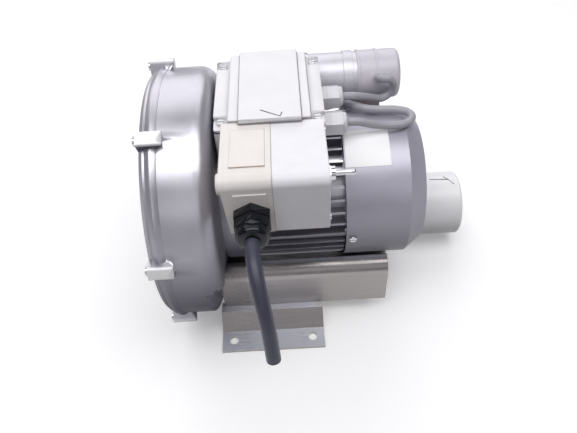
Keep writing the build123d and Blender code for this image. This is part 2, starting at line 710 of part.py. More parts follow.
def silencer_base():
    """Bottom plate with two welded nuts for the foot's screws."""
    half = SILENCER_HALF_WIDTH - HOOD_SHEET
    plate = block(NECK_END_X, HOOD_END_X, -half, half, FOOT_TOP_Z, HOOD_BASE_Z)
    for x, y in base_screw_places():
        nut_plane = Plane(origin=(x, y, HOOD_BASE_Z))
        plate += extrude(nut_plane * RegularPolygon(FOOT_NUT_R, 6), amount=5)
        plate -= rod(FOOT_SCREW_R, (x, y, FOOT_TOP_Z), (x, y, HOOD_BASE_Z + 5))
    return plate


def silencer_end_plate():
    section = silencer_section(HOOD_SHEET, HOOD_BASE_Z)
    plate = section_x(section, HOOD_END_X - END_PLATE, HOOD_END_X)
    for bore in ports(BUSH_NECK_R, HOOD_END_X - END_PLATE, HOOD_END_X):
        plate -= bore
    return plate


def silencer_foam():
    """Absorbing foam that fills the box round the two liners."""
    foam = section_x(silencer_section(HOOD_SHEET + 1, HOOD_BASE_Z + 6), NECK_END_X + 1,
                     HOOD_END_X - END_PLATE - BUSH_NECK + 1)
    for bore in ports(PORT_R + LINER_WALL, HOOD_START_X, HOOD_END_X):
        foam -= bore
    return group([foam])


def port_liner(side):
    """Perforated tube from the manifold towards the end plate."""
    x0 = NECK_END_X
    x1 = HOOD_END_X - END_PLATE - BUSH_NECK
    tube = sleeve(PORT_R + LINER_WALL, PORT_R, x0, x1, side, PORT_Z)
    pitch = (x1 - x0) / LINER_SLOTS
    half, reach = LINER_SLOT_WIDTH / 2, PORT_R + 2 * LINER_WALL
    for index in range(LINER_SLOTS):
        start = x0 + pitch * (index + 0.5) - LINER_SLOT / 2
        end = start + LINER_SLOT
        tube -= block(start, end, side - reach, side + reach, PORT_Z - half, PORT_Z + half)
        tube -= block(start, end, side - half, side + half, PORT_Z - reach, PORT_Z + reach)
    return tube


def port_liners():
    return group([port_liner(-PORT_Y), port_liner(PORT_Y)])


def port_bush(side, bore):
    """Flanged bush in the end plate."""
    neck = bar(BUSH_NECK_R, HOOD_END_X - END_PLATE - BUSH_NECK + 3, HOOD_END_X, side, PORT_Z)
    flange = bar(BUSH_FLANGE_R, HOOD_END_X, HOOD_END_X + BUSH_FLANGE, side, PORT_Z)
    rim = flange.edges().filter_by(GeomType.CIRCLE).sort_by(Axis.X)[-1]
    body = neck + chamfer(rim, 1.2)
    return body - bar(bore, HOOD_END_X - 30, HOOD_END_X + BUSH_FLANGE, side, PORT_Z)


def inlet_port_bush():
    return port_bush(-PORT_Y, PORT_R)


def outlet_nipple():
    """Flanged bush with the pipe that carries the outlet past the fan cover."""
    pipe = bar(BUSH_NECK_R, HOOD_END_X + BUSH_FLANGE, PIPE_END_X, PORT_Y, PORT_Z)
    return port_bush(PORT_Y, PIPE_BORE_R) + pipe - bar(PIPE_BORE_R, HOOD_END_X, PIPE_END_X, PORT_Y, PORT_Z)


def outlet_socket():
    """Plastic pipe socket pushed on the outlet pipe."""
    body = bar(SOCKET_R, SOCKET_START_X, SOCKET_END_X, PORT_Y, PORT_Z)
    rims = body.edges().filter_by(GeomType.CIRCLE).sort_by(Axis.X)
    body = fillet(rims, SOCKET_RIM_ROUND)
    body -= bar(SOCKET_BORE_R, SOCKET_END_X - SOCKET_DEPTH, SOCKET_END_X, PORT_Y, PORT_Z)
    return body - bar(BUSH_NECK_R, SOCKET_START_X, SOCKET_END_X, PORT_Y, PORT_Z)


def foot_bracket():
    """Bent sheet: two flanges on the floor, two leaning webs and a raised platform between them."""
    t = FOOT_SHEET
    lean = t * 0.42
    half_section = [
        (0, FOOT_TOP_Z), (FOOT_TOP_HALF, FOOT_TOP_Z), (FOOT_BEND_Y + lean, t), (FOOT_OUTER_Y, t),
        (FOOT_OUTER_Y, 0), (FOOT_BEND_Y - lean, 0), (FOOT_TOP_HALF - 2 * lean, FOOT_TOP_Z - t),
        (0, FOOT_TOP_Z - t),
    ]
    mirrored = [(-y, z) for y, z in reversed(half_section[1:-1])]
    body = section_x(Polygon(*(half_section + mirrored), align=None), -FOOT_WIDTH / 2, FOOT_WIDTH / 2)
    notch_x = CASE_BACK_X + FOOT_NOTCH_GAP
    notch_half = FOOT_TOP_HALF - FOOT_NOTCH_INSET
    body -= block(-FOOT_WIDTH, notch_x, -notch_half, notch_half, 0, FOOT_TOP_Z + 1)
    body -= block(FOOT_WIDTH / 2 - FOOT_CHAMFER_X, FOOT_WIDTH, -FOOT_TOP_HALF + FOOT_CHAMFER_Y,
                  FOOT_TOP_HALF - FOOT_CHAMFER_Y, 0, FOOT_TOP_Z + 1)
    for side in (-1, 1):
        corner = Polygon((FOOT_WIDTH / 2 - FOOT_CHAMFER_X, side * (FOOT_TOP_HALF - FOOT_CHAMFER_Y)),
                         (FOOT_WIDTH / 2 + 1, side * (FOOT_TOP_HALF - FOOT_CHAMFER_Y)),
                         (FOOT_WIDTH / 2 + 1, side * (FOOT_TOP_HALF + 0.8)), align=None)
        body -= Pos(0, 0, FOOT_TOP_Z - 2 * t) * extrude(corner, amount=3 * t, dir=(0, 0, 1))
    for x in (-FOOT_HOLES_X / 2, FOOT_HOLES_X / 2):
        for y in (-FOOT_HOLES_Y / 2, FOOT_HOLES_Y / 2):
            body -= rod(FOOT_HOLE_R, (x, y, 0), (x, y, t))
    for x, y in manifold_screw_places() + base_screw_places():
        body -= rod(FOOT_SCREW_R + 0.3, (x, y, FOOT_TOP_Z - t), (x, y, FOOT_TOP_Z))
    return body


def foot_screws():
    screws = []
    for x, y in manifold_screw_places() + base_screw_places():
        seat_z = FOOT_TOP_Z - FOOT_SHEET
        plane = Plane(origin=(x, y, seat_z - 4), z_dir=(0, 0, 1))
        head = extrude(plane * RegularPolygon(FOOT_SCREW_FLATS_R, 6), amount=4)
        screws.append(head + rod(FOOT_SCREW_R, (x, y, seat_z), (x, y, FOOT_TOP_Z + 5.5)))
    return group(screws)


# ---- motor ----------------------------------------------------------------------------------

def motor_housing():
    """Finned housing with the drive bearing's seat in its front wall."""
    body = bar(HOUSING_R, FLANGE_END_X, HOUSING_END_X) + bar(FLANGE_R, CASE_BACK_X, FLANGE_END_X)
    body += bar(HOUSING_R - SPIGOT_PLAY, CASE_BACK_X - SPIGOT_REACH, CASE_BACK_X)
    fin = block(FLANGE_END_X, HOUSING_END_X - FIN_SETBACK, -FIN_THICKNESS / 2, FIN_THICKNESS / 2,
                AXIS_H + HOUSING_R - 1, AXIS_H + FIN_TIP_R)
    body = body + [radial(fin, angle) for angle in range(0, 360, FIN_PITCH)]
    body += block(FLANGE_END_X - 2, PAD_END_X, *PAD_Y, AXIS_H + HOUSING_R / 2, BOX_FLOOR_Z)
    for angle in TIE_ANGLES:
        y, z = polar_point(0, TIE_CIRCLE_R, angle)[1:]
        body += bar(TIE_R + TIE_WALL, FLANGE_END_X, HOUSING_END_X, y, z)
    body -= block(CASE_BACK_X, BOX_X1 + 1, BOX_Y0, BOX_Y1 + 1, BOX_FLOOR_Z, BOX_JOINT_Z)
    cavity_x = CASE_BACK_X + 10
    body -= (bar(HOUSING_BORE_R, cavity_x, HOUSING_END_X)
             - bar(BEARING_R + 6, cavity_x, DRIVE_BEARING_X + BEARING_WIDTH))
    body -= bar(BEARING_R, DRIVE_BEARING_X, DRIVE_BEARING_X + BEARING_WIDTH)
    body -= bar(SHAFT_BEARING_R + 0.6, CASE_BACK_X - SPIGOT_REACH, DRIVE_BEARING_X)
    body -= rod(WIRE_HOLE_R, (WIRE_X, 0, AXIS_H + HOUSING_BORE_R - 10), (WIRE_X, 0, BOX_FLOOR_Z))
    for angle in TIE_ANGLES:
        y, z = polar_point(0, TIE_CIRCLE_R, angle)[1:]
        body -= bar(TIE_R, FLANGE_END_X - 8, HOUSING_END_X, y, z)
    for x, y in box_screw_places():
        body -= rod(LID_SCREW_R, (x, y, BOX_FLOOR_Z - 8), (x, y, BOX_FLOOR_Z))
    return body


def rear_end_shield():
    """End shield with the rear bearing's seat and three ears for the fan cover."""
    x0 = HOUSING_END_X
    body = bar(TIE_CIRCLE_R + 3, x0, x0 + SHIELD_THICKNESS)
    body += bar(BEARING_R + 6, REAR_BEARING_X - 4, REAR_BEARING_X + BEARING_WIDTH + 2)
    for angle in TIE_ANGLES:
        ear = block(x0, x0 + SHIELD_THICKNESS, -EAR_WIDTH / 2, EAR_WIDTH / 2,
                    AXIS_H + TIE_CIRCLE_R - 6, AXIS_H + FAN_COVER_R)
        body += radial(ear & bar(EAR_R, x0, x0 + SHIELD_THICKNESS), angle)
    body += sleeve(HOUSING_BORE_R - SPIGOT_PLAY, HOUSING_BORE_R - 6, x0 - 4, x0 + 1)
    body -= bar(BEARING_R, REAR_BEARING_X - 4, REAR_BEARING_X + BEARING_WIDTH)
    body -= bar(SHAFT_BEARING_R + 0.6, REAR_BEARING_X, REAR_BEARING_X + BEARING_WIDTH + 2)
    for angle in TIE_ANGLES:
        y, z = polar_point(0, TIE_CIRCLE_R, angle)[1:]
        body -= bar(TIE_R, x0 - 1, x0 + SHIELD_THICKNESS, y, z)
        hole = (polar_point(EAR_SCREW_X, TIE_CIRCLE_R + 4, angle), polar_point(EAR_SCREW_X, EAR_R + 1, angle))
        body -= rod(COVER_SCREW_R, *hole)
    return body


def tie_bolts():
    bolts = []
    for angle in TIE_ANGLES:
        y, z = polar_point(0, TIE_CIRCLE_R, angle)[1:]
        seat_x = HOUSING_END_X + SHIELD_THICKNESS
        bolts.append(bar(TIE_R, FLANGE_END_X - 6, seat_x, y, z)
                     + hexagon(TIE_HEAD_FLATS, (seat_x, y, z), (seat_x + TIE_HEAD, y, z)))
    return group(bolts)


def stator_slots(width, inner_r, outer_r, x0, x1):
    tooth_gap = block(x0, x1, -width / 2, width / 2, AXIS_H + inner_r, AXIS_H + outer_r)
    return [spin(tooth_gap, 360 * index / STATOR_SLOTS) for index in range(STATOR_SLOTS)]


def stator_core():
    core = sleeve(HOUSING_BORE_R, STATOR_BORE_R, CORE_START_X, CORE_END_X)
    core = core - stator_slots(4.0, STATOR_BORE_R + 2.5, STATOR_BORE_R + 14, CORE_START_X, CORE_END_X)
    return core - stator_slots(1.8, STATOR_BORE_R - 1, STATOR_BORE_R + 3, CORE_START_X, CORE_END_X)


def stator_windings():
    """Copper in the slots and the bound turns at both ends."""
    inner = STATOR_BORE_R + 2.8
    outer = STATOR_BORE_R + 13.7
    wires = sleeve(outer + 1.5, inner - 0.3, CORE_START_X - WINDING_OVERHANG, CORE_START_X)
    wires += sleeve(outer + 1.5, inner - 0.3, CORE_END_X, CORE_END_X + WINDING_OVERHANG)
    ends = wires.edges().filter_by(GeomType.CIRCLE).sort_by(Axis.X)
    wires = fillet(ends[:2] + ends[-2:], 3.5)
    return wires + stator_slots(3.4, inner, outer, CORE_START_X - 1, CORE_END_X + 1)


def rotor_core():
    core_r = STATOR_BORE_R - AIR_GAP
    return turned([
        (CORE_START_X, SHAFT_CORE_R), (CORE_END_X, SHAFT_CORE_R), (CORE_END_X, core_r - 9),
        (CORE_END_X + 7, core_r - 9), (CORE_END_X + 7, core_r - 1.5), (CORE_END_X, core_r - 1.5),
        (CORE_END_X, core_r), (CORE_START_X, core_r), (CORE_START_X, core_r - 1.5),
        (CORE_START_X - 7, core_r - 1.5), (CORE_START_X - 7, core_r - 9), (CORE_START_X, core_r - 9),
    ])


def shaft():
    x0 = HUB_X0 + 0.5
    body = turned([
        (x0, 0), (x0, SHAFT_IMPELLER_R - 0.6), (x0 + 0.6, SHAFT_IMPELLER_R),
        (IMPELLER_X1, SHAFT_IMPELLER_R), (IMPELLER_X1, SHAFT_BEARING_R),
        (DRIVE_BEARING_X + BEARING_WIDTH, SHAFT_BEARING_R),
        (DRIVE_BEARING_X + BEARING_WIDTH, SHAFT_SHOULDER_R), (CORE_START_X - 7, SHAFT_SHOULDER_R),
        (CORE_START_X - 7, SHAFT_CORE_R), (CORE_END_X + 7, SHAFT_CORE_R),
        (CORE_END_X + 7, SHAFT_SHOULDER_R), (REAR_BEARING_X, SHAFT_SHOULDER_R),
        (REAR_BEARING_X, SHAFT_BEARING_R), (REAR_BEARING_X + BEARING_WIDTH + 3, SHAFT_BEARING_R),
        (REAR_BEARING_X + BEARING_WIDTH + 3, SHAFT_FAN_R), (SHAFT_END_X - 1, SHAFT_FAN_R),
        (SHAFT_END_X, SHAFT_FAN_R - 1), (SHAFT_END_X, 0),
    ])
    body -= key_seat(SHAFT_IMPELLER_R + 1, HUB_X0 + 1.5, IMPELLER_X1 - 2)
    return body - bar(SHAFT_SCREW_R, x0, HUB_X0 + 14)


def bearing_places():
    return (DRIVE_BEARING_X, REAR_BEARING_X)


def ball_circle_r():
    return (SHAFT_BEARING_R + BEARING_R) / 2


def bearing_ring(x0, bore_r, rim_r):
    """One race, with its ball groove."""
    ring = sleeve(rim_r, bore_r, x0 + 0.1, x0 + BEARING_WIDTH - 0.1)
    groove = (SHAFT_PLANE * Pos(x0 + BEARING_WIDTH / 2, ball_circle_r())) * Circle(BALL_R + BALL_PLAY)
    return ring - revolve(groove, SHAFT_AXIS)


def bearing_outer_rings():
    inner = ball_circle_r() + CAGE_HALF + 0.6
    return group([bearing_ring(x, inner, BEARING_R) for x in bearing_places()])


def bearing_inner_rings():
    outer = ball_circle_r() - CAGE_HALF - 0.6
    return group([bearing_ring(x, SHAFT_BEARING_R, outer) for x in bearing_places()])


def bearing_balls():
    balls = []
    for x in bearing_places():
        for index in range(BALLS):
            centre = polar_point(x + BEARING_WIDTH / 2, ball_circle_r(), 360 * index / BALLS)
            balls.append(Pos(*centre) * Sphere(BALL_R))
    return group(balls)


def bearing_cages():
    """Thin rings that keep the balls apart."""
    cages = []
    for x in bearing_places():
        middle = x + BEARING_WIDTH / 2
        half = BALL_R + 1.2
        cage = sleeve(ball_circle_r() + CAGE_HALF, ball_circle_r() - CAGE_HALF, middle - half, middle + half)
        for index in range(BALLS):
            angle = 360 * index / BALLS
            pocket = (polar_point(middle, ball_circle_r() - BALL_R, angle),
                      polar_point(middle, ball_circle_r() + BALL_R, angle))
            cage -= rod(BALL_R + 3 * BALL_PLAY, *pocket)
        cages.append(cage)
    return group(cages)


def cooling_fan():
    hub_r = SHAFT_FAN_R + FAN_HUB_WALL
    hub = sleeve(hub_r, SHAFT_FAN_R, FAN_X0, FAN_X0 + FAN_HUB_LENGTH)
    hub += sleeve(FAN_R - 6, hub_r - 1, FAN_X0, FAN_X0 + 2.4)
    blade = block(FAN_X0, FAN_X0 + FAN_LENGTH, -FAN_BLADE / 2, FAN_BLADE / 2,
                  AXIS_H + hub_r - 1, AXIS_H + FAN_R)
    corner = blade.edges().filter_by(Axis.Y).sort_by(lambda edge: edge.center().X - edge.center().Z)[-1]
    blade = chamfer(corner, 15)
    return hub + [spin(blade, 360 * index / FAN_BLADES) for index in range(FAN_BLADES)]


def fan_cover():
    """Sheet cowl with a ring grille in its end."""
    x0, bend, end = FAN_COVER_START_X, COVER_BEND_X, COVER_END_X
    inner_end_r = FAN_COVER_END_R - SHEET
    body = turned([
        (x0, FAN_COVER_R), (bend, FAN_COVER_R), (end, FAN_COVER_END_R), (end, 0), (end - SHEET, 0),
        (end - SHEET, inner_end_r), (bend - 0.6, EAR_R), (x0, EAR_R),
    ])
    slots = None
    for ring in range(GRILLE_RINGS):
        inner = GRILLE_FIRST_R + ring * GRILLE_PITCH
        slot = sleeve(inner + GRILLE_SLOT, inner, end - 2 * SHEET, end + 1)
        slots = slot if slots is None else slots + slot
    spoke = block(end - 3 * SHEET, end + 2, -GRILLE_SPOKE / 2, GRILLE_SPOKE / 2, AXIS_H + GRILLE_FIRST_R - 5,
                  AXIS_H + FAN_COVER_END_R)
    slots = slots - [spin(spoke, 360 * index / GRILLE_SPOKES) for index in range(GRILLE_SPOKES)]
    body -= slots
    for angle in TIE_ANGLES:
        start = polar_point(EAR_SCREW_X, EAR_R - 1, angle)
        body -= rod(COVER_SCREW_R, start, polar_point(EAR_SCREW_X, FAN_COVER_R + 1, angle))
    return body


def axis_distance(edge):
    """Distance of an edge's centre from the shaft's axis."""
    centre = edge.center(CenterOf.BOUNDING_BOX)
    return sqrt(centre.Y ** 2 + (centre.Z - AXIS_H) ** 2)


def fan_cover_screws():
    screws = []
    for angle in TIE_ANGLES:
        tip = polar_point(EAR_SCREW_X, TIE_CIRCLE_R + 4.5, angle)
        seat = polar_point(EAR_SCREW_X, FAN_COVER_R, angle)
        top = polar_point(EAR_SCREW_X, FAN_COVER_R + COVER_SCREW_HEAD, angle)
        head = rod(COVER_SCREW_HEAD_R, seat, top)
        rim = head.edges().filter_by(GeomType.CIRCLE).sort_by(axis_distance)[-1]
        head = fillet(rim, COVER_SCREW_HEAD / 2)
        slot = radial(block(EAR_SCREW_X - COVER_SCREW_HEAD_R, EAR_SCREW_X + COVER_SCREW_HEAD_R, -0.5, 0.5,
                            AXIS_H + FAN_COVER_R + 1, AXIS_H + FAN_COVER_R + COVER_SCREW_HEAD + 1), angle)
        screws.append(head - slot + rod(COVER_SCREW_R, tip, seat))
    return group(screws)


# ---- terminal box -----------------------------------------------------------------------------

def box_screw_places():
    columns = (BOX_X0 + 1.5 * BOX_SCREW_INSET, BOX_X1 - 1.5 * BOX_SCREW_INSET)
    rows = (BOX_Y0 + 1.4 * BOX_SCREW_INSET, BOX_BACK_WALL_Y - BOX_SCREW_INSET)
    return [(x, y) for x in columns for y in rows]


def lid_screw_places():
    columns = (BOX_X0 + LID_SCREW_INSET_X, BOX_X1 - LID_SCREW_INSET_X)
    rows = (BOX_Y0 + LID_SCREW_INSET_Y[0], BOX_Y1 - LID_SCREW_INSET_Y[1])
    return [(x, y) for x in columns for y in rows]


def upright_edges(shape):
    return shape.edges().filter_by(Axis.Z)


def terminal_box():
    body = block(BOX_X0, BOX_X1, BOX_Y0, BOX_BACK_WALL_Y, BOX_FLOOR_Z, BOX_JOINT_Z)
    body = fillet(upright_edges(body), BOX_CORNER)
    body += block(BOX_X0, BOX_X1, BOX_BACK_WALL_Y - 4, BOX_Y1 - 1, BOX_JOINT_Z - 4, BOX_JOINT_Z)
    hollow = block(BOX_X0 + BOX_WALL, BOX_X1 - BOX_WALL, BOX_Y0 + BOX_WALL,
                   BOX_BACK_WALL_Y - BOX_WALL, BOX_FLOOR_Z + BOX_WALL, BOX_JOINT_Z)
    for x, y in lid_screw_places()[::2]:
        hollow -= rod(5.0, (x, y, BOX_FLOOR_Z), (x, y, BOX_JOINT_Z))
    body -= hollow
    for x, y in lid_screw_places():
        body -= rod(LID_SCREW_R, (x, y, BOX_JOINT_Z - 9), (x, y, BOX_JOINT_Z))
    for y in GLAND_Y:
        body -= bar(GLAND_STEM_R, BOX_X1 - BOX_WALL, BOX_X1, y, GLAND_Z)
    body -= rod(WIRE_HOLE_R, (WIRE_X, 0, BOX_FLOOR_Z), (WIRE_X, 0, BOX_FLOOR_Z + BOX_WALL))
    for x, y in box_screw_places():
        body -= rod(LID_SCREW_R, (x, y, BOX_FLOOR_Z), (x, y, BOX_FLOOR_Z + BOX_WALL))
    return body - link_rod(LINK_R)


def terminal_box_screws():
    screws = []
    for x, y in box_screw_places():
        seat = BOX_FLOOR_Z + BOX_WALL
        screws.append(rod(BOX_SCREW_HEAD_R, (x, y, seat), (x, y, seat + LID_SCREW_HEAD))
                      + rod(LID_SCREW_R, (x, y, BOX_FLOOR_Z - 7), (x, y, seat)))
    return group(screws)


def terminal_box_gasket():
    z0, z1 = BOX_JOINT_Z, LID_Z
    ring = block(BOX_X0, BOX_X1, BOX_Y0, BOX_Y1 - 1, z0, z1)
    ring = fillet(upright_edges(ring), BOX_CORNER)
    hollow = block(BOX_X0 + BOX_WALL, BOX_X1 - BOX_WALL, BOX_Y0 + BOX_WALL,
                   BOX_BACK_WALL_Y - BOX_WALL, z0, z1)
    for x, y in lid_screw_places()[::2]:
        hollow -= rod(5.0, (x, y, z0), (x, y, z1))
    ring -= hollow
    for x, y in lid_screw_places():
        ring -= rod(LID_SCREW_R, (x, y, z0), (x, y, z1))
    return ring


def terminal_box_lid():
    """Stepped lid: low wings with screw pockets, a middle step and the raised panel."""
    z0 = LID_Z
    wing = block(BOX_X0, BOX_X1, BOX_Y0, BOX_Y1, z0, WING_Z)
    wing = fillet(upright_edges(wing), BOX_CORNER)
    step = block(*STEP_X, BOX_Y0, BOX_Y1, z0, STEP_Z)
    panel = block(*PANEL_X, BOX_Y0 - PANEL_OVERHANG, BOX_Y1, SWITCH_Z1 + 0.6, PANEL_Z)
    panel = fillet(panel.edges().group_by(Axis.Z)[-1], 1.2)
    body = wing + fillet(step.edges().group_by(Axis.Z)[-1], 1.2) + panel
    front_y, back_y = BOX_Y0 + POCKET_WIDTH, BOX_Y1 - POCKET_WIDTH + 2
    for x0, x1 in ((BOX_X0 - 1, STEP_X[0] - 1), (STEP_X[1] + 1, BOX_X1 + 1)):
        body -= block(x0, x1, BOX_Y0 - 1, front_y, POCKET_Z, WING_Z + 1)
        middle = (x0 + x1) / 2
        body -= block(middle - 5, middle + 5, back_y, BOX_Y1 - 2, POCKET_Z, WING_Z + 1)
    inner = block(*STEP_X, BOX_Y0 + BOX_WALL, BOX_BACK_WALL_Y - BOX_WALL, z0, STEP_Z - BOX_WALL)
    body -= inner
    for x, y in lid_screw_places():
        body -= rod(LID_SCREW_R, (x, y, z0), (x, y, WING_Z))
    return body


def lid_screws():
    screws = []
    for x, y in lid_screw_places():
        head = rod(LID_SCREW_HEAD_R, (x, y, POCKET_Z), (x, y, POCKET_Z + LID_SCREW_HEAD))
        slot = block(x - 4, x + 4, y - 0.5, y + 0.5, POCKET_Z + LID_SCREW_HEAD / 2, POCKET_Z + 3)
        screws.append(head - slot + rod(LID_SCREW_R, (x, y, BOX_JOINT_Z - 8), (x, y, POCKET_Z)))
    return group(screws)


def stud_places():
    middle_x = BOX_X0 + BLOCK_INSET[0] + BLOCK_SIZE[0] / 2
    middle_y = BOX_Y0 + BLOCK_INSET[1] + BLOCK_SIZE[1] / 2
    return [(middle_x + column * STUD_PITCH[0], middle_y + row * STUD_PITCH[1] / 2)
            for column in (-1, 0, 1) for row in (-1, 1)]


def terminal_block():
    x0, y0, z0 = BOX_X0 + BLOCK_INSET[0], BOX_Y0 + BLOCK_INSET[1], BOX_FLOOR_Z + BOX_WALL
    length, width, height = BLOCK_SIZE
    body = block(x0, x0 + length, y0, y0 + width, z0, z0 + height)
    middle = x0 + length / 2
    half = STUD_PITCH[0] / 2
    for x in (x0 + 1, middle - half, middle + half, x0 + length - 1):
        body += block(x - 1, x + 1, y0, y0 + width, z0 + height - 1, z0 + height + BLOCK_FIN)
    for x, y in stud_places():
        body -= rod(STUD_R, (x, y, z0 + height / 2), (x, y, z0 + height))
    return body


def terminal_studs():
    top_z = BOX_FLOOR_Z + BOX_WALL + BLOCK_SIZE[2]
    studs = []
    for x, y in stud_places():
        nut = extrude(Plane(origin=(x, y, top_z)) * RegularPolygon(STUD_NUT_R, 6), amount=STUD_NUT)
        studs.append(rod(STUD_R, (x, y, top_z - BLOCK_SIZE[2] / 2), (x, y, top_z + STUD_HEIGHT)) + nut)
    return group(studs)


def lead_gland_bodies():
    bodies = []
    for y in GLAND_Y:
        end_x = BOX_X1 + GLAND_BODY
        bodies.append(hexagon(GLAND_FLATS, (BOX_X1, y, GLAND_Z), (end_x, y, GLAND_Z))
                      + bar(GLAND_STEM_R, BOX_X1 - BOX_WALL - 5, BOX_X1, y, GLAND_Z)
                      - bar(LEAD_D / 2 + 1, BOX_X1 - BOX_WALL - 5, end_x, y, GLAND_Z))
    return group(bodies)


def gland_nut_end_x():
    return BOX_X1 + GLAND_BODY + GLAND_NUT


def lead_gland_nuts():
    nuts = []
    for y in GLAND_Y:
        start_x = BOX_X1 + GLAND_BODY
        nut = hexagon(GLAND_FLATS, (start_x, y, GLAND_Z), (start_x + GLAND_NUT - GLAND_DOME, y, GLAND_Z))
        dome = bar(GLAND_FLATS / 2 - 0.6, start_x, gland_nut_end_x(), y, GLAND_Z)
        rim = dome.edges().filter_by(GeomType.CIRCLE).sort_by(Axis.X)[-1]
        nuts.append(nut + fillet(rim, GLAND_DOME - 1))
    return group(nuts)


# ---- capacitors and their leads -----------------------------------------------------------------

def run_capacitor():
    can = bar(RUN_R, RUN_X0, RUN_X1, RUN_Y, RUN_Z)
    rims = can.edges().filter_by(GeomType.CIRCLE)
    can = fillet(rims, 1.6)
    tabs = [block(RUN_X1 - 1, RUN_X1 + 9, RUN_Y + side - 3, RUN_Y + side + 3, RUN_Z - 0.5, RUN_Z + 0.5)
            for side in (-9, 9)]
    return can + tabs


def boot_entry(height):
    """Point on the line along which the lead enters the boot, at a height above its surface."""
    reach = RUN_R + BOOT_WALL + height
    turn = radians(BOOT_ENTRY_ANGLE)
    return (RUN_X0 + BOOT_ENTRY, RUN_Y + reach * cos(turn), RUN_Z + reach * sin(turn))


def capacitor_boot():
    """Rubber boot over the terminals, with a nipple for the lead."""
    outer = RUN_R + BOOT_WALL
    boot = bar(outer, BOOT_X0, BOOT_X1, RUN_Y, RUN_Z)
    end_rim = boot.edges().filter_by(GeomType.CIRCLE).sort_by(Axis.X)[-1]
    boot = fillet(end_rim, 5.0)
    for start in (BOOT_X0, RUN_X0 + BOOT_BEAD_X):
        boot += bar(outer + 0.5, start, start + BOOT_LIP, RUN_Y, RUN_Z)
    boot += rod(LEAD_D / 2 + NIPPLE_WALL, boot_entry(-2.5), boot_entry(NIPPLE))
    return boot - bar(RUN_R, BOOT_X0, BOOT_X1 - BOOT_FLOOR, RUN_Y, RUN_Z)


def capacitor_clamp():
    """Band round the run capacitor with a foot on the terminal box's back wall."""
    x0, x1 = BAND_X - BAND_WIDTH / 2, BAND_X + BAND_WIDTH / 2
    band = bar(RUN_R + BAND, x0, x1, RUN_Y, RUN_Z)
    foot = block(x0, x1, BOX_BACK_WALL_Y, BOX_BACK_WALL_Y + RUN_GAP + 0.2,
                 RUN_Z - BAND_FOOT / 2, RUN_Z + BAND_FOOT / 2)
    return band + foot - bar(RUN_R, x0, x1, RUN_Y, RUN_Z)


def start_capacitor():
    can = bar(START_R, START_X0, START_X0 + START_LENGTH, START_Y, START_Z)
    rims = can.edges().filter_by(GeomType.CIRCLE)
    return fillet(rims, 1.5)


def capacitor_strap():
    """Double band that hangs the start capacitor from the run capacitor."""
    x0, x1 = STRAP_X - BAND_WIDTH / 2, STRAP_X + BAND_WIDTH / 2
    strap = bar(RUN_R + BAND, x0, x1, RUN_Y, RUN_Z) + bar(START_R + BAND, x0, x1, START_Y, START_Z)
    strap += block(x0, x1, START_Y - 9, RUN_Y + 9, START_Z + START_R - 1, RUN_Z - RUN_R + 1)
    strap -= bar(RUN_R, x0, x1, RUN_Y, RUN_Z)
    return strap - bar(START_R, x0, x1, START_Y, START_Z)


def run_lead():
    """From the rear gland along the capacitor, up and round into the boot's side."""
    points = [
        (gland_nut_end_x(), GLAND_Y[1], GLAND_Z), (90, GLAND_Y[1], GLAND_Z), (101, 28, 210.5),
        (111, 35, 203), (120, 41, 197), (127.5, 44, 198.5), (132, 44, 205.5), (132, 42.5, 213.5),
        (127, 41.5, 219.5), (121, 42, 219), boot_entry(NIPPLE + 6), boot_entry(NIPPLE),
    ]
    return cord("run_lead", points, LEAD_D)


def start_lead():
    """From the front gland in a flat loop on the fan cover, back and down to the start capacitor."""
    points = [
        (gland_nut_end_x(), GLAND_Y[0], GLAND_Z), (91, GLAND_Y[0], GLAND_Z), (104, -13, 209.5),
        (118, -11, 205.3), (131, -9.5, 203.9), (140.5, -4.5, 203.4), (144, 3.5, 203.4),
        (139.5, 11, 203.5), (129, 14.5, 203.6), (116, 15, 203.9), (103, 17, 204), (92.5, 25, 202.8),
        (85, 36, 198), (79, 46.5, 190.5), (74, 56, 181.5), (69, 66, 172), (66.5, 76, 166),
        (72, START_Y, START_Z), (START_X0, START_Y, START_Z),
    ]
    return cord("start_lead", points, LEAD_D)


# ---- switch box -----------------------------------------------------------------------------------

def link_rod(radius):
    """Space of the hollow bush between the switch box and the terminal box."""
    return rod(radius, (LINK_X, SWITCH_Y1 - 8, LINK_Z), (LINK_X, BOX_Y0 + BOX_WALL + 4, LINK_Z))


def box_link():
    return link_rod(LINK_R) - link_rod(LINK_R - LINK_WALL)


def switch_section(inset):
    """Section of the switch box: square, with a round upper front edge."""
    y0, y1 = SWITCH_Y0 + inset, SWITCH_Y1 - inset
    z0, z1 = SWITCH_Z0 + inset, SWITCH_Z1 - inset
    outline = Pos((y0 + y1) / 2, (z0 + z1) / 2) * Rectangle(y1 - y0, z1 - z0)
    upper_front = outline.vertices().sort_by(lambda vertex: vertex.Y - vertex.X)[-1]
    return fillet(upper_front, SWITCH_ROUND - inset)


def leaning_cut(x, inset):
    """Wedge outside the left wall, which leans in towards the bottom."""
    corner_x = x - 5
    points = [(corner_x, SWITCH_Z1), (x, SWITCH_Z1), (x + SWITCH_DRAFT, SWITCH_Z0), (corner_x, SWITCH_Z0)]
    plane = Plane(origin=(0, SWITCH_Y1 + 1, 0), x_dir=(1, 0, 0), z_dir=(0, -1, 0))
    return extrude(plane * Polygon(*points, align=None), amount=SWITCH_Y1 - SWITCH_Y0 + 4, dir=(0, -1, 0))


def screw_rods(radius, x0, x1):
    return [bar(radius, x0, x1, y, z) for y, z in SWITCH_SCREWS]


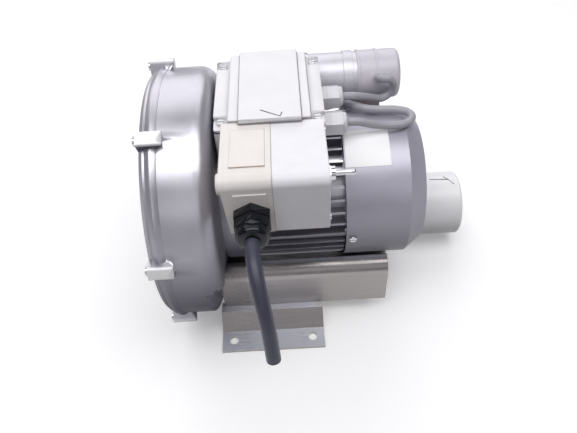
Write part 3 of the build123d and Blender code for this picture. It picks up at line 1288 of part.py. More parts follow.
def switch_box_left():
    """Junction half, with raised panels and the supply gland's hole."""
    x0, x1, wall = SWITCH_X0, SWITCH_SEAM_X, SWITCH_WALL
    body = section_x(switch_section(0), x0, x1) - leaning_cut(x0, 0)
    lip_y, lip_z = SWITCH_Y0 + SWITCH_ROUND, SWITCH_Z1 - SWITCH_ROUND
    lip = bar(SWITCH_ROUND, x0 - LIP_OUT, x0 + 6, lip_y, lip_z)
    body += fillet(lip.edges().filter_by(GeomType.CIRCLE).sort_by(Axis.X)[0], 1.5)
    body += block(x0 + 8, x1 - 5, SWITCH_Y0 + 17, SWITCH_Y1 - 11, SWITCH_Z1 - 1, SWITCH_Z1 + PANEL_RAISE)
    body += block(x0 + 10, x1 - 5, SWITCH_Y0 - PANEL_RAISE, SWITCH_Y0 + 1, SWITCH_Z0 + 5, SWITCH_Z1 - 13)
    hollow = section_x(switch_section(wall), x0 + wall, x1)
    for stem in screw_rods(SWITCH_STEM_R, x0, x1):
        hollow -= stem
    body -= hollow - leaning_cut(x0 + wall, 0)
    for hole in screw_rods(SWITCH_SCREW_R, x1 - 12, x1):
        body -= hole
    body -= rod(SUPPLY_STEM_R, (SUPPLY_X, SWITCH_Y0 - 2, SUPPLY_Z), (SUPPLY_X, SWITCH_Y0 + wall + 1, SUPPLY_Z))
    return body - link_rod(LINK_R)


def switch_box_right():
    """Switch half, with the toggle switch in its end wall."""
    x0, x1, wall = SWITCH_SEAM_X, SWITCH_X1, SWITCH_WALL
    body = section_x(switch_section(SWITCH_STEP), x0, x1)
    end_edges = body.edges().group_by(Axis.X)[-1]
    body = fillet(end_edges, 1.2)
    hollow = section_x(switch_section(wall), x0, x1 - wall)
    for stem in screw_rods(SWITCH_STEM_R, x0, x1):
        hollow -= stem
    body -= hollow
    for hole in screw_rods(SWITCH_SCREW_R, x0, x1):
        body -= hole
    for recess in screw_rods(SWITCH_SCREW_HEAD_R + 0.2, x1 - 1.0, x1):
        body -= recess
    body -= bar(BUSH_R, x1 - wall, x1, TOGGLE_Y, TOGGLE_Z)
    return body - link_rod(LINK_R)


def switch_box_screws():
    screws = []
    for y, z in SWITCH_SCREWS:
        screws.append(bar(SWITCH_SCREW_R, SWITCH_SEAM_X - 10, SWITCH_X1 - 1, y, z)
                      + bar(SWITCH_SCREW_HEAD_R, SWITCH_X1 - 1, SWITCH_X1 + SWITCH_SCREW_HEAD, y, z))
    return group(screws)


def switch_body():
    depth, width, height = SWITCH_BODY
    x1 = SWITCH_X1 - SWITCH_WALL
    body = block(x1 - depth, x1, TOGGLE_Y - width / 2, TOGGLE_Y + width / 2,
                 TOGGLE_Z - height / 2, TOGGLE_Z + height / 2)
    for shift in (-TERMINAL_PITCH, 0, TERMINAL_PITCH):
        body += block(x1 - depth - TERMINAL_REACH, x1 - depth, TOGGLE_Y - 3, TOGGLE_Y + 3,
                      TOGGLE_Z + shift - 0.5, TOGGLE_Z + shift + 0.5)
    return body - bar(LEVER_BALL_R, x1 - 3, x1, TOGGLE_Y, TOGGLE_Z)


def switch_bush():
    """Bush with the lever's ball socket, clamped in the wall by its nut."""
    body = bar(BUSH_R, SWITCH_X1 - SWITCH_WALL, SWITCH_X1 + BUSH_REACH, TOGGLE_Y, TOGGLE_Z)
    seat = Pos(PIVOT_X, TOGGLE_Y, TOGGLE_Z) * Rot(0, 90, 0) * Sphere(LEVER_BALL_R + LEVER_PLAY)
    bore = bar(LEVER_BALL_R - 0.15, SWITCH_X1 - SWITCH_WALL - 1, SWITCH_X1 + BUSH_REACH + 1, TOGGLE_Y, TOGGLE_Z)
    return body - (seat + bore)


def switch_nut():
    end_x = SWITCH_X1 + TOGGLE_NUT
    nut = hexagon(TOGGLE_NUT_FLATS, (SWITCH_X1, TOGGLE_Y, TOGGLE_Z), (end_x, TOGGLE_Y, TOGGLE_Z))
    return nut - bar(BUSH_R, SWITCH_X1, end_x, TOGGLE_Y, TOGGLE_Z)


def switch_lever():
    """Bat shaped lever on a ball."""
    centre = Pos(PIVOT_X, TOGGLE_Y, TOGGLE_Z)
    bat = Cone(LEVER_ROOT_R, LEVER_TIP_R, LEVER_LENGTH - LEVER_TIP_R,
               align=(Align.CENTER, Align.CENTER, Align.MIN))
    tip = Pos(0, 0, LEVER_LENGTH - LEVER_TIP_R) * Sphere(LEVER_TIP_R)
    tail = Pos(0, 0, -LEVER_BALL_R - LEVER_TAIL_R) * Cylinder(
        LEVER_TAIL_R, LEVER_BALL_R, align=(Align.CENTER, Align.CENTER, Align.MIN))
    return centre * Rot(0, 90, 0) * (Sphere(LEVER_BALL_R) + bat + tip + tail)


def supply_gland_body():
    face = SWITCH_Y0 - PANEL_RAISE
    seat = (SUPPLY_X, face, SUPPLY_Z)
    body = hexagon(SUPPLY_FLATS, seat, (SUPPLY_X, SWITCH_Y0 - SUPPLY_BODY, SUPPLY_Z))
    stem = rod(SUPPLY_STEM_R, (SUPPLY_X, SWITCH_Y0 + SWITCH_WALL + 6, SUPPLY_Z), seat)
    bore = rod(CORD_D / 2 + 0.5, (SUPPLY_X, SWITCH_Y0 + SWITCH_WALL + 6, SUPPLY_Z),
               (SUPPLY_X, SWITCH_Y0 - SUPPLY_BODY, SUPPLY_Z))
    return body + stem - bore


def supply_gland_nut():
    start = (SUPPLY_X, SWITCH_Y0 - SUPPLY_BODY, SUPPLY_Z)
    middle = (SUPPLY_X, SWITCH_Y0 - SUPPLY_BODY - SUPPLY_HEX, SUPPLY_Z)
    end = (SUPPLY_X, SWITCH_Y0 - SUPPLY_BODY - SUPPLY_NUT, SUPPLY_Z)
    dome = rod(SUPPLY_FLATS / 2 - 1, start, end)
    rim = dome.edges().filter_by(GeomType.CIRCLE).sort_by(Axis.Y)[0]
    return hexagon(SUPPLY_FLATS - 1, start, middle) + fillet(rim, 5.0)


def supply_cord():
    """Short tail of the supply cord, drooping from the gland to its cut end."""
    start_y = SWITCH_Y0 - SUPPLY_BODY - SUPPLY_NUT
    points = [
        (SUPPLY_X, start_y, SUPPLY_Z), (SUPPLY_X, -152, SUPPLY_Z), (-2, -167, 200.5), (1, -181, 189),
        (4, -190.5, 173.5), (5.6, -197, 155.5), (6.7, -202, 136.5),
    ]
    return cord("supply_cord", points, CORD_D)


PARTS = {
    "casing": casing, "casing_cover": casing_cover, "cover_screws": cover_screws,
    "impeller": impeller, "impeller_key": impeller_key, "impeller_washer": impeller_washer,
    "impeller_screw": impeller_screw, "shaft_seal": shaft_seal,
    "silencer_manifold": silencer_manifold, "silencer_hood": silencer_hood,
    "silencer_base": silencer_base, "port_liners": port_liners, "silencer_end_plate": silencer_end_plate,
    "silencer_foam": silencer_foam, "inlet_port_bush": inlet_port_bush,
    "outlet_nipple": outlet_nipple, "outlet_socket": outlet_socket,
    "foot_bracket": foot_bracket, "foot_screws": foot_screws,
    "motor_housing": motor_housing, "rear_end_shield": rear_end_shield, "tie_bolts": tie_bolts,
    "stator_core": stator_core, "stator_windings": stator_windings, "rotor_core": rotor_core,
    "shaft": shaft, "bearing_outer_rings": bearing_outer_rings,
    "bearing_inner_rings": bearing_inner_rings, "bearing_balls": bearing_balls,
    "bearing_cages": bearing_cages, "cooling_fan": cooling_fan, "fan_cover": fan_cover,
    "fan_cover_screws": fan_cover_screws, "terminal_box": terminal_box,
    "terminal_box_screws": terminal_box_screws, "terminal_box_gasket": terminal_box_gasket,
    "terminal_box_lid": terminal_box_lid, "lid_screws": lid_screws,
    "terminal_block": terminal_block, "terminal_studs": terminal_studs,
    "lead_gland_bodies": lead_gland_bodies, "lead_gland_nuts": lead_gland_nuts,
    "run_capacitor": run_capacitor, "capacitor_boot": capacitor_boot,
    "capacitor_clamp": capacitor_clamp, "start_capacitor": start_capacitor,
    "capacitor_strap": capacitor_strap, "run_lead": run_lead, "start_lead": start_lead,
    "box_link": box_link, "switch_box_left": switch_box_left, "switch_box_right": switch_box_right,
    "switch_box_screws": switch_box_screws, "switch_body": switch_body, "switch_bush": switch_bush,
    "switch_nut": switch_nut, "switch_lever": switch_lever, "supply_gland_body": supply_gland_body,
    "supply_gland_nut": supply_gland_nut, "supply_cord": supply_cord,
}

for node, make in PARTS.items():
    export_step(make(), "parts/" + node + ".step")
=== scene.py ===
import json
from math import atan2, cos, pi, radians, sin

import bpy
from mathutils import Matrix, Vector


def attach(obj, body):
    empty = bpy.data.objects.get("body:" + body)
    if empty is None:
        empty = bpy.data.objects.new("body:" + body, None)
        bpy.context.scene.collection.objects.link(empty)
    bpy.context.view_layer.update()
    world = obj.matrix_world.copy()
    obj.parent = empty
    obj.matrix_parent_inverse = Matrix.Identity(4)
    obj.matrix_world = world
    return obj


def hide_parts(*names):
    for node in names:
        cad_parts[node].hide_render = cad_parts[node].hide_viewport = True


# Side channel blower: finishes, the supply cord and the small parts that go on the CAD model.
# Metres, +X along the shaft from the blower to the fan, +Z up, the floor at z = 0.

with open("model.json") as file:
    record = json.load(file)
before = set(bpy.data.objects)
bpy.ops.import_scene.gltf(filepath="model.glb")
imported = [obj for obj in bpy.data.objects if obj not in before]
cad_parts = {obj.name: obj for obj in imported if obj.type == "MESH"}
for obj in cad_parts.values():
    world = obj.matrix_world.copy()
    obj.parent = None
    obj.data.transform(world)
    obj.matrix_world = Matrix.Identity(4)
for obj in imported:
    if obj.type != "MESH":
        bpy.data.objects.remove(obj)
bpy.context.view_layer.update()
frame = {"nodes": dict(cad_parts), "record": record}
nodes = frame["nodes"]
bpy.ops.object.select_all(action="DESELECT")

MM = 0.001
SMOOTH_ANGLE = radians(30)     # edges sharper than this stay sharp

# ---- camera ---------------------------------------------------------------------------------

CAMERA_PLACE = Vector((28.3, -430.5, 548.4)) * MM
CAMERA_DOWN = radians(47.44)
CAMERA_TURN = radians(-0.7)
CAMERA_ROLL = radians(-3.87)
CAMERA_LENS = 36.86

# ---- light ----------------------------------------------------------------------------------

FLOOR_SIZE = 6.0
FLOOR_TONE = 0.92
FLOOR_BOUNCE = 0.15            # the floor is darker for the light that it throws back on the object
FLOOR_GLOW = 0.22
HORIZON_TONE = (0.30, 0.29, 0.32, 1)
ZENITH_TONE = (0.15, 0.15, 0.17, 1)
LAMPS = {
    # name: place, size along X and Y, power in watts
    "overhead_softbox": ((0.06, -0.26, 1.25), (1.8, 0.72), 12.5),
    "rear_softbox": ((-0.1, 0.9, 0.85), (1.6, 1.0), 7.0),
    "front_fill": ((0.0, -1.5, 1.0), (1.6, 0.7), 2.2),
}
LAMP_TARGET = Vector((0.03, 0, 0.12))

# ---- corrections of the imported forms, and the small pieces ----------------------------------

AXIS = Vector((0, 0, 127.0)) * MM          # a point on the shaft's axis
CASE_R = 122.3 * MM
MERGE_GAP = 0.002 * MM
SEAT_TOP = 112.0 * MM                      # below this height the casing's back is set forward
SEAT_RAMP = 0.6 * MM                       # height over which it gets there
SEAT_SLACK = 0.1 * MM
SEAT_BORE_R = 72.0 * MM                    # the motor flange's seat keeps its place
CHANNEL_FLOOR_X = -56.5 * MM
SEAT_SQUEEZE = 0.36                        # what is left of the back's depth behind the channel
NECK_START_X = -37.5 * MM
NECK_REACH = 12.0 * MM
PANEL_FRONT_Y = -41.0 * MM                 # the lid's centre panel hangs over in front of this
PANEL_PULL = 4.0 * MM
GLAND_AXIS = Vector((-4.0, 0, 205.0)) * MM
GLAND_SWELL = 1.10
GLAND_BORE_R = 9.5 * MM                    # the bore round the cord keeps its size
BEAD_X = -86.0 * MM
BEAD_WIDTH = 10.5 * MM
BEAD_RISE = 2.4 * MM
BEAD_WALL = 2.0 * MM
BEAD_ROUND = 0.9 * MM
FAN_COVER_R = 72.2 * MM
PLATE_X = (78.0 * MM, 119.0 * MM)
PLATE_ARC = (radians(96.0), radians(127.0))
PLATE_SHEET = 0.3 * MM
PLATE_GAP = 0.05 * MM
TOP_OF_PANEL = 247.5 * MM
TICK = ((5.8, -32.3), (22.1, -42.0), (24.0, -36.8))
SOCKET_AXIS = Vector((0, 42.0, 42.905)) * MM
SOCKET_R = 35.7 * MM
ARROW = ((183.5, 85.3), (204.5, 88.3), (209.7, 99.9))
ARROW_BARB = ((200.0, 80.3), (204.5, 88.3))
STROKE_R = 0.45 * MM
LINES = {
    # name: finish, radius, points
    # the panel and step lines are painted shadow lines along the lid's panel edges and steps
    "panel_line_left": ("painted_shadow_line", 0.4, ((-13.2, -44.0, 244.0), (-13.2, 57.5, 244.0))),
    "panel_line_right": ("painted_shadow_line", 0.4, ((40.2, -44.0, 244.0), (40.2, 57.5, 244.0))),
    "panel_line_front": ("painted_shadow_line", 0.5, ((-13.0, -44.1, 243.1), (40.0, -44.1, 243.1))),
    "step_line_left": ("painted_shadow_line", 0.35, ((-22.2, -39.8, 238.0), (-22.2, 57.5, 238.0))),
    "step_line_right": ("painted_shadow_line", 0.35, ((48.2, -39.8, 238.0), (48.2, 57.5, 238.0))),
    "switch_box_seam": ("seam_grey", 0.3, (
        (13.5, -42.0, 242.0), (13.5, -106.5, 242.0), (13.5, -110.8, 240.3), (13.5, -112.4, 236.0),
        (13.5, -112.4, 185.4))),
    "switch_panel_line_rear": ("crease_brown", 0.5, ((-19.4, -51.6, 242.5), (8.5, -51.6, 242.5))),
    "switch_panel_line_front": ("crease_brown", 0.5, ((-19.4, -95.4, 242.5), (8.5, -95.4, 242.5))),
}
HOOD_REACH = 6.0 * MM
HOOD_END = 1.0 * MM                        # what lies this near the hood's end moves with it

# ---- supply cord ----------------------------------------------------------------------------

CORD_D = 11.8 * MM
CORD_ROUTE = [
    (-4, -140, 205), (-4, -152, 205), (-2, -167, 200.5), (1, -181, 189), (4, -190.5, 173.5),
    (5.6, -197, 155.5), (6.7, -202, 136.5),
]


def make_camera():
    """Camera at the viewing place, rolled a little."""
    forward = Vector((sin(CAMERA_TURN) * cos(CAMERA_DOWN), cos(CAMERA_TURN) * cos(CAMERA_DOWN),
                      -sin(CAMERA_DOWN)))
    right = Vector((cos(CAMERA_TURN), -sin(CAMERA_TURN), 0))
    up = right.cross(forward)
    across = cos(CAMERA_ROLL) * right + sin(CAMERA_ROLL) * up
    upward = cos(CAMERA_ROLL) * up - sin(CAMERA_ROLL) * right
    bpy.ops.object.camera_add()
    camera = bpy.context.object
    turn = Matrix((across, upward, -forward)).transposed().to_4x4()
    camera.matrix_world = Matrix.Translation(CAMERA_PLACE) @ turn
    camera.data.lens = CAMERA_LENS
    bpy.context.scene.camera = camera


def aim(obj, target):
    """Turn a lamp to look at a point."""
    obj.rotation_euler = (target - obj.location).to_track_quat("-Z", "Y").to_euler()


def make_lamps():
    """Soft lamps above, behind and in front."""
    for name, (place, size, power) in LAMPS.items():
        bpy.ops.object.light_add(type="AREA", location=place)
        lamp = bpy.context.object
        lamp.name = name
        lamp.data.shape = "RECTANGLE"
        lamp.data.size, lamp.data.size_y = size
        lamp.data.energy = power
        aim(lamp, LAMP_TARGET)


# ---- finishes -------------------------------------------------------------------------------

SOFT_EDGE = 0.0005                         # round that the light catches on worn edges
PAINT_CLOUD = 0.045
PEEL_SIZE = 0.0009
PEEL_DEPTH = 0.00004
UNDERSIDE_SHADE_FACING = (0.6, -0.3)                  # upward part of the normal, from no painted shade to full painted shade
LUG_HIGHLIGHT_R = CASE_R + 5.5 * MM             # painted highlight on the lugs outside this
# painted shade along the lid's edges and in its corners
CORNER_SHADE_TONE = (0.14, 0.135, 0.15, 1)
CORNER_SHADE_WIDTH = 0.0013
CAST_GRAIN = 0.0016
CAST_DEPTH = 0.00018
# painted reflection of the sky on faces that look up
SKY_REFLECTION_TONE = (0.82, 0.84, 0.92, 1)


class Socket:
    """An output of a shader node. Arithmetic on it adds Math nodes."""

    def __init__(self, finish, output):
        self.finish, self.output = finish, output

    def maths(self, operation, first, second):
        return self.finish.node("ShaderNodeMath", {"operation": operation}, {0: first, 1: second})

    def __add__(self, other):
        return self.maths("ADD", self, other)

    def __sub__(self, other):
        return self.maths("SUBTRACT", self, other)

    def __rsub__(self, other):
        return self.maths("SUBTRACT", other, self)

    def __mul__(self, other):
        return self.maths("MULTIPLY", self, other)

    __radd__ = __add__
    __rmul__ = __mul__


class Nodes:
    """A node tree, and the patterns that are made in it."""

    def __init__(self, tree):
        self.tree = tree

    def fill(self, entry, value):
        if isinstance(value, Socket):
            self.tree.links.new(value.output, entry)
        else:
            entry.default_value = value

    def node(self, kind, settings, inputs, out=0):
        """Add a node: its settings first, then the values or links of its sockets."""
        made = self.tree.nodes.new(kind)
        for name, value in settings.items():
            setattr(made, name, value)
        for name, value in inputs.items():
            self.fill(made.inputs[name], value)
        return Socket(self, made.outputs[out])

    def place(self, space="Object"):
        """Point on the piece, in metres."""
        return self.node("ShaderNodeTexCoord", {}, {}, space)

    def along(self, axis, space="Object"):
        """One coordinate of the point."""
        return self.node("ShaderNodeSeparateXYZ", {}, {0: self.place(space)}, axis)

    def from_shaft(self):
        """Distance from the shaft's axis."""
        flat = self.node("ShaderNodeVectorMath", {"operation": "MULTIPLY_ADD"}, {
            0: self.place(), 1: (0, 1, 1), 2: (0, 0, -AXIS.z)})
        return self.node("ShaderNodeVectorMath", {"operation": "LENGTH"}, {0: flat}, "Value")

    def facing_down(self, start, end):
        """Mask that grows as the surface turns towards the floor."""
        normal = self.node("ShaderNodeNewGeometry", {}, {}, "Normal")
        upward = self.node("ShaderNodeSeparateXYZ", {}, {0: normal}, 2)
        return self.fade(upward, start, end)

    def noise(self, size, stretch=(1, 1, 1), detail=3.0, roughness=0.55):
        """Cloudy pattern whose spots are about size metres, drawn out along an axis by stretch."""
        scale = tuple(1 / (size * factor) for factor in stretch)
        spot = self.node("ShaderNodeMapping", {}, {"Vector": self.place(), "Scale": scale})
        return self.node("ShaderNodeTexNoise", {}, {
            "Vector": spot, "Scale": 1.0, "Detail": detail, "Roughness": roughness})

    def fade(self, value, low, high, to_low=0.0, to_high=1.0):
        """Carry a value from one range to another, clamped."""
        return self.node("ShaderNodeMapRange", {}, {
            "Value": value, "From Min": low, "From Max": high,
            "To Min": to_low, "To Max": to_high})

    def mix(self, factor, first, second):
        """Mix two colours."""
        return self.node("ShaderNodeMix", {"data_type": "RGBA"}, {0: factor, 6: first, 7: second}, 2)

    def edges(self, width):
        """Mask of the outer and inner edges."""
        soft = self.node("ShaderNodeBevel", {"samples": 4}, {"Radius": width})
        sharp = self.node("ShaderNodeNewGeometry", {}, {}, "Normal")
        turn = self.node("ShaderNodeVectorMath", {"operation": "DOT_PRODUCT"}, {
            0: soft, 1: sharp}, "Value")
        return self.fade(turn, 0.99, 0.88)


class Finish(Nodes):
    """A procedural material on one Principled shader."""

    def __init__(self, name, metallic=0.0, specular=0.5):
        self.material = bpy.data.materials.new(name)
        self.material.use_nodes = True
        super().__init__(self.material.node_tree)
        self.shader = self.tree.nodes["Principled BSDF"]
        self.set("Metallic", metallic)
        self.set("Specular IOR Level", specular)

    def set(self, name, value):
        """Set one of the shader's sockets to a number, a colour or a link."""
        self.fill(self.shader.inputs[name], value)

    def bump(self, height, distance, edge=0.0):
        """Relief of a height pattern, over edges rounded by edge metres."""
        inputs = {"Height": height, "Distance": distance, "Strength": 1.0}
        if edge:
            inputs["Normal"] = self.node("ShaderNodeBevel", {"samples": 4}, {"Radius": edge})
        self.set("Normal", self.node("ShaderNodeBump", {}, inputs))


def grey(tone):
    """Neutral colour."""
    return (tone, tone, tone, 1)


def shaded(colour, factor):
    """A colour made darker or lighter by a factor."""
    return (*(min(1, channel * factor) for channel in colour[:3]), 1)


def paint(name, tone, metallic, roughness, underside_shade=0.0):
    """Sprayed paint: faint mottling, a fine orange peel, a gloss that varies in patches, and painted shade
    on its undersides.
    """
    finish = Finish(name, metallic=metallic)
    cloud = finish.noise(PAINT_CLOUD, detail=4)
    base = finish.mix(finish.fade(cloud, 0.3, 0.7), shaded(tone, 0.94), shaded(tone, 1.06))
    if underside_shade:
        # painted shade on the undersides
        base = finish.mix(finish.facing_down(*UNDERSIDE_SHADE_FACING), base, shaded(tone, 1 - underside_shade))
    finish.set("Base Color", base)
    peel = finish.noise(PEEL_SIZE, detail=2)
    finish.set("Roughness", finish.fade(cloud, 0.25, 0.75, roughness - 0.04, roughness + 0.05))
    finish.bump(peel, PEEL_DEPTH, edge=SOFT_EDGE)
    return finish.material


def silver(name):
    """Silver paint on castings: a painted highlight on the lugs, and painted shade with a duller gloss on
    the undersides.
    """
    finish = Finish(name)
    cloud = finish.noise(PAINT_CLOUD, detail=4)
    tone = finish.mix(finish.fade(cloud, 0.3, 0.7), (0.54, 0.53, 0.58, 1), (0.63, 0.615, 0.665, 1))
    underside_shade = finish.facing_down(*UNDERSIDE_SHADE_FACING)
    # painted shade: darker, duller and less metallic towards the undersides
    tone = finish.mix(underside_shade, tone, (0.07, 0.067, 0.10, 1))
    lug_highlight = finish.fade(finish.from_shaft(), LUG_HIGHLIGHT_R, LUG_HIGHLIGHT_R + 2.0 * MM)
    # painted highlight: the lugs near white and less metallic
    finish.set("Base Color", finish.mix(lug_highlight, tone, (0.93, 0.92, 0.93, 1)))
    finish.set("Metallic", finish.fade(lug_highlight, 0, 1, 0.85, 0.15) * finish.fade(underside_shade, 0, 1, 1.0, 0.2))
    finish.set("Roughness", finish.fade(cloud, 0.25, 0.75, 0.29, 0.37) + underside_shade * 0.25)
    finish.bump(finish.noise(PEEL_SIZE, detail=2), PEEL_DEPTH, edge=SOFT_EDGE)
    return finish.material


def boxed(name, tone):
    """White paint on a stepped lid, with painted shade as grey lines along its edges and in its corners."""
    finish = Finish(name)
    cloud = finish.noise(0.03, detail=4)
    base = finish.mix(finish.fade(cloud, 0.35, 0.7), tone, shaded(tone, 0.95))
    patches = finish.fade(finish.noise(0.012, detail=3), 0.3, 0.6, 0.55, 1.0)
    # painted shade: grey along the edges and in the corners, broken up in patches
    finish.set("Base Color", finish.mix(finish.edges(CORNER_SHADE_WIDTH) * patches, base, CORNER_SHADE_TONE))
    finish.set("Roughness", finish.fade(cloud, 0.3, 0.7, 0.36, 0.46))
    finish.bump(finish.noise(0.0008, detail=2), 0.00003, edge=SOFT_EDGE)
    return finish.material


def cast(name, tone, roughness):
    """Bare casting: coarse skin with darker pits."""
    finish = Finish(name, metallic=0.85)
    skin = finish.noise(CAST_GRAIN, detail=5, roughness=0.65)
    cloud = finish.noise(0.03, detail=3)
    darker = shaded(tone, 0.72)
    base = finish.mix(finish.fade(skin, 0.35, 0.6), darker, tone)
    finish.set("Base Color", finish.mix(finish.fade(cloud, 0.35, 0.7, 0, 0.25), base, darker))
    finish.set("Roughness", finish.fade(cloud, 0.3, 0.7, roughness - 0.05, roughness + 0.08))
    finish.bump(skin, CAST_DEPTH, edge=0.0006)
    return finish.material


def brushed(name, tone, roughness, mottle):
    """Rolled or brushed metal: fine lines along X, and a painted bluish sky reflection on what faces up."""
    finish = Finish(name, metallic=1.0)
    fine = finish.noise(0.0002, stretch=(300, 1, 1), detail=2)
    broad = finish.noise(0.0022, stretch=(40, 1, 1), detail=3)
    cloud = finish.noise(0.05, detail=3)
    lines = finish.mix(finish.fade(broad, 0.35, 0.65), shaded(tone, 1 - mottle), shaded(tone, 1 + mottle))
    # painted reflection: faces that look up turn bluish and less metallic
    sky_reflection = 1 - finish.facing_down(0.995, 0.93)
    finish.set("Base Color", finish.mix(sky_reflection, lines, SKY_REFLECTION_TONE))
    finish.set("Metallic", finish.fade(sky_reflection, 0, 1, 1.0, 0.45))
    base = finish.fade(cloud, 0.3, 0.7, roughness - 0.05, roughness + 0.06)
    finish.set("Roughness", base + finish.fade(fine, 0.3, 0.7, -0.04, 0.05))
    finish.bump(fine, 0.00002, edge=SOFT_EDGE)
    return finish.material


def turned_metal(name, tone, roughness):
    """Plain bright metal: small differences of gloss and tone."""
    finish = Finish(name, metallic=1.0)
    cloud = finish.noise(0.006, detail=3)
    fine = finish.noise(0.0004, detail=2)
    finish.set("Base Color", finish.mix(finish.fade(cloud, 0.35, 0.65), shaded(tone, 0.9), tone))
    finish.set("Roughness", finish.fade(fine, 0.3, 0.7, roughness - 0.04, roughness + 0.05))
    finish.bump(fine, 0.00001, edge=0.0003)
    return finish.material


def plastic(name, tone, roughness, grain=0.0007, relief=0.00003, mottle=0.03, edge=0.0006,
            specular=0.5):
    """Moulded plastic: a fine texture and faint marks of use."""
    finish = Finish(name, specular=specular)
    cloud = finish.noise(0.02, detail=4)
    grains = finish.noise(grain, detail=2)
    darker = shaded(tone, 1 - mottle * 2)
    finish.set("Base Color", finish.mix(finish.fade(cloud, 0.3, 0.7), darker, tone))
    finish.set("Roughness", finish.fade(cloud, 0.3, 0.7, roughness - 0.04, roughness + 0.05))
    finish.bump(grains, relief, edge=edge)
    return finish.material


def make_finishes():
    """One material for each of the record's slots."""
    return {
        "silver_paint": silver("silver_paint"),
        "cast_aluminium": cast("cast_aluminium", (0.36, 0.335, 0.33, 1), 0.38),
        "machined_aluminium": turned_metal("machined_aluminium", (0.62, 0.62, 0.63, 1), 0.3),
        "zinc_steel": turned_metal("zinc_steel", (0.62, 0.62, 0.64, 1), 0.25),
        "brushed_sheet": brushed("brushed_sheet", (0.36, 0.335, 0.33, 1), 0.3, mottle=0.04),
        "shaft_steel": turned_metal("shaft_steel", (0.55, 0.55, 0.56, 1), 0.25),
        "bearing_steel": turned_metal("bearing_steel", (0.66, 0.66, 0.68, 1), 0.12),
        "core_steel": turned_metal("core_steel", (0.28, 0.28, 0.29, 1), 0.5),
        "copper_winding": turned_metal("copper_winding", (0.55, 0.2, 0.08, 1), 0.35),
        # fan cover paint, with painted shade on its undersides
        "grey_paint": paint("grey_paint", (0.46, 0.45, 0.52, 1), 0.45, 0.4, underside_shade=0.6),
        "black_rubber": plastic("black_rubber", (0.018, 0.018, 0.02, 1), 0.6),
        "cord_rubber": plastic("cord_rubber", (0.046, 0.046, 0.075, 1), 0.38, edge=0),
        "foam": plastic("foam", (0.03, 0.03, 0.032, 1), 0.95, grain=0.002, relief=0.0006),
        "port_alloy": turned_metal("port_alloy", (0.5, 0.5, 0.51, 1), 0.35),
        "white_plastic": plastic("white_plastic", (0.93, 0.93, 0.94, 1), 0.35, mottle=0.01),
        "fan_plastic": plastic("fan_plastic", (0.05, 0.05, 0.055, 1), 0.4),
        "box_white": boxed("box_white", (0.77, 0.76, 0.78, 1)),
        "ivory_plastic": plastic("ivory_plastic", (0.77, 0.73, 0.70, 1), 0.42),
        "light_grey_plastic": plastic("light_grey_plastic", (0.80, 0.79, 0.82, 1), 0.42),
        "gland_grey": plastic("gland_grey", (0.66, 0.65, 0.68, 1), 0.24),
        "gland_black": plastic("gland_black", (0.004, 0.005, 0.008, 1), 0.12, relief=0.00001, specular=0.35),
        "capacitor_can": paint("capacitor_can", (0.68, 0.665, 0.72, 1), 0.4, 0.42),
        "boot_grey": plastic("boot_grey", (0.60, 0.58, 0.64, 1), 0.35),
        "start_can": plastic("start_can", (0.76, 0.66, 0.66, 1), 0.4),
        "lead_grey": plastic("lead_grey", (0.36, 0.355, 0.39, 1), 0.3, edge=0),
        "block_brown": plastic("block_brown", (0.10, 0.045, 0.02, 1), 0.4),
        "brass": turned_metal("brass", (0.62, 0.42, 0.16, 1), 0.25),
        "chrome": turned_metal("chrome", (0.70, 0.70, 0.72, 1), 0.08),
        # dark grey for the painted shadow lines on the lid
        "painted_shadow_line": plastic("painted_shadow_line", (0.20, 0.19, 0.21, 1), 0.8),
        "seam_grey": plastic("seam_grey", (0.50, 0.49, 0.50, 1), 0.7),
        "crease_brown": plastic("crease_brown", (0.46, 0.37, 0.31, 1), 0.7),
        "switch_black": plastic("switch_black", (0.02, 0.02, 0.022, 1), 0.4),
    }


def make_world():
    """Even light from all round, brighter near the horizon."""
    world = bpy.data.worlds.new("studio")
    bpy.context.scene.world = world
    world.use_nodes = True
    sky = Nodes(world.node_tree)
    height = sky.node("ShaderNodeMath", {"operation": "ABSOLUTE"}, {0: sky.along(2, "Generated")})
    tone = sky.mix(sky.fade(height, 0.0, 0.75), HORIZON_TONE, ZENITH_TONE)
    sky.fill(world.node_tree.nodes["Background"].inputs["Color"], tone)


# ---- pieces ---------------------------------------------------------------------------------

def dress(obj, material):
    """Put one material on the whole of an object."""
    obj.data.materials.clear()
    obj.data.materials.append(material)


def make_floor():
    """Pale sheet that keeps the shadow and throws back little light."""
    bpy.ops.mesh.primitive_plane_add(size=FLOOR_SIZE, location=(0, 0, -0.0002))
    floor = bpy.context.object
    floor.name = "floor"
    finish = Finish("floor_sheet", specular=0.0)
    seen = sum(finish.node("ShaderNodeLightPath", {}, {}, ray)
               for ray in ("Is Camera Ray", "Is Glossy Ray", "Is Transmission Ray"))
    finish.set("Base Color", finish.mix(seen, grey(FLOOR_BOUNCE), grey(FLOOR_TONE)))
    finish.set("Emission Color", grey(1.0))
    finish.set("Emission Strength", seen * FLOOR_GLOW)
    finish.set("Roughness", 0.9)
    dress(floor, finish.material)


def alone(obj):
    """Make one object the active one and the only one selected."""
    bpy.ops.object.select_all(action="DESELECT")
    obj.select_set(True)
    bpy.context.view_layer.objects.active = obj


def pick(obj, chosen):
    """Go into edit mode with the vertices selected whose place passes a test."""
    alone(obj)
    bpy.ops.object.mode_set(mode="EDIT")
    bpy.ops.mesh.select_mode(type="VERT")
    bpy.ops.mesh.select_all(action="DESELECT")
    bpy.ops.object.mode_set(mode="OBJECT")
    for vertex in obj.data.vertices:
        vertex.select = chosen(vertex.co)
    bpy.ops.object.mode_set(mode="EDIT")


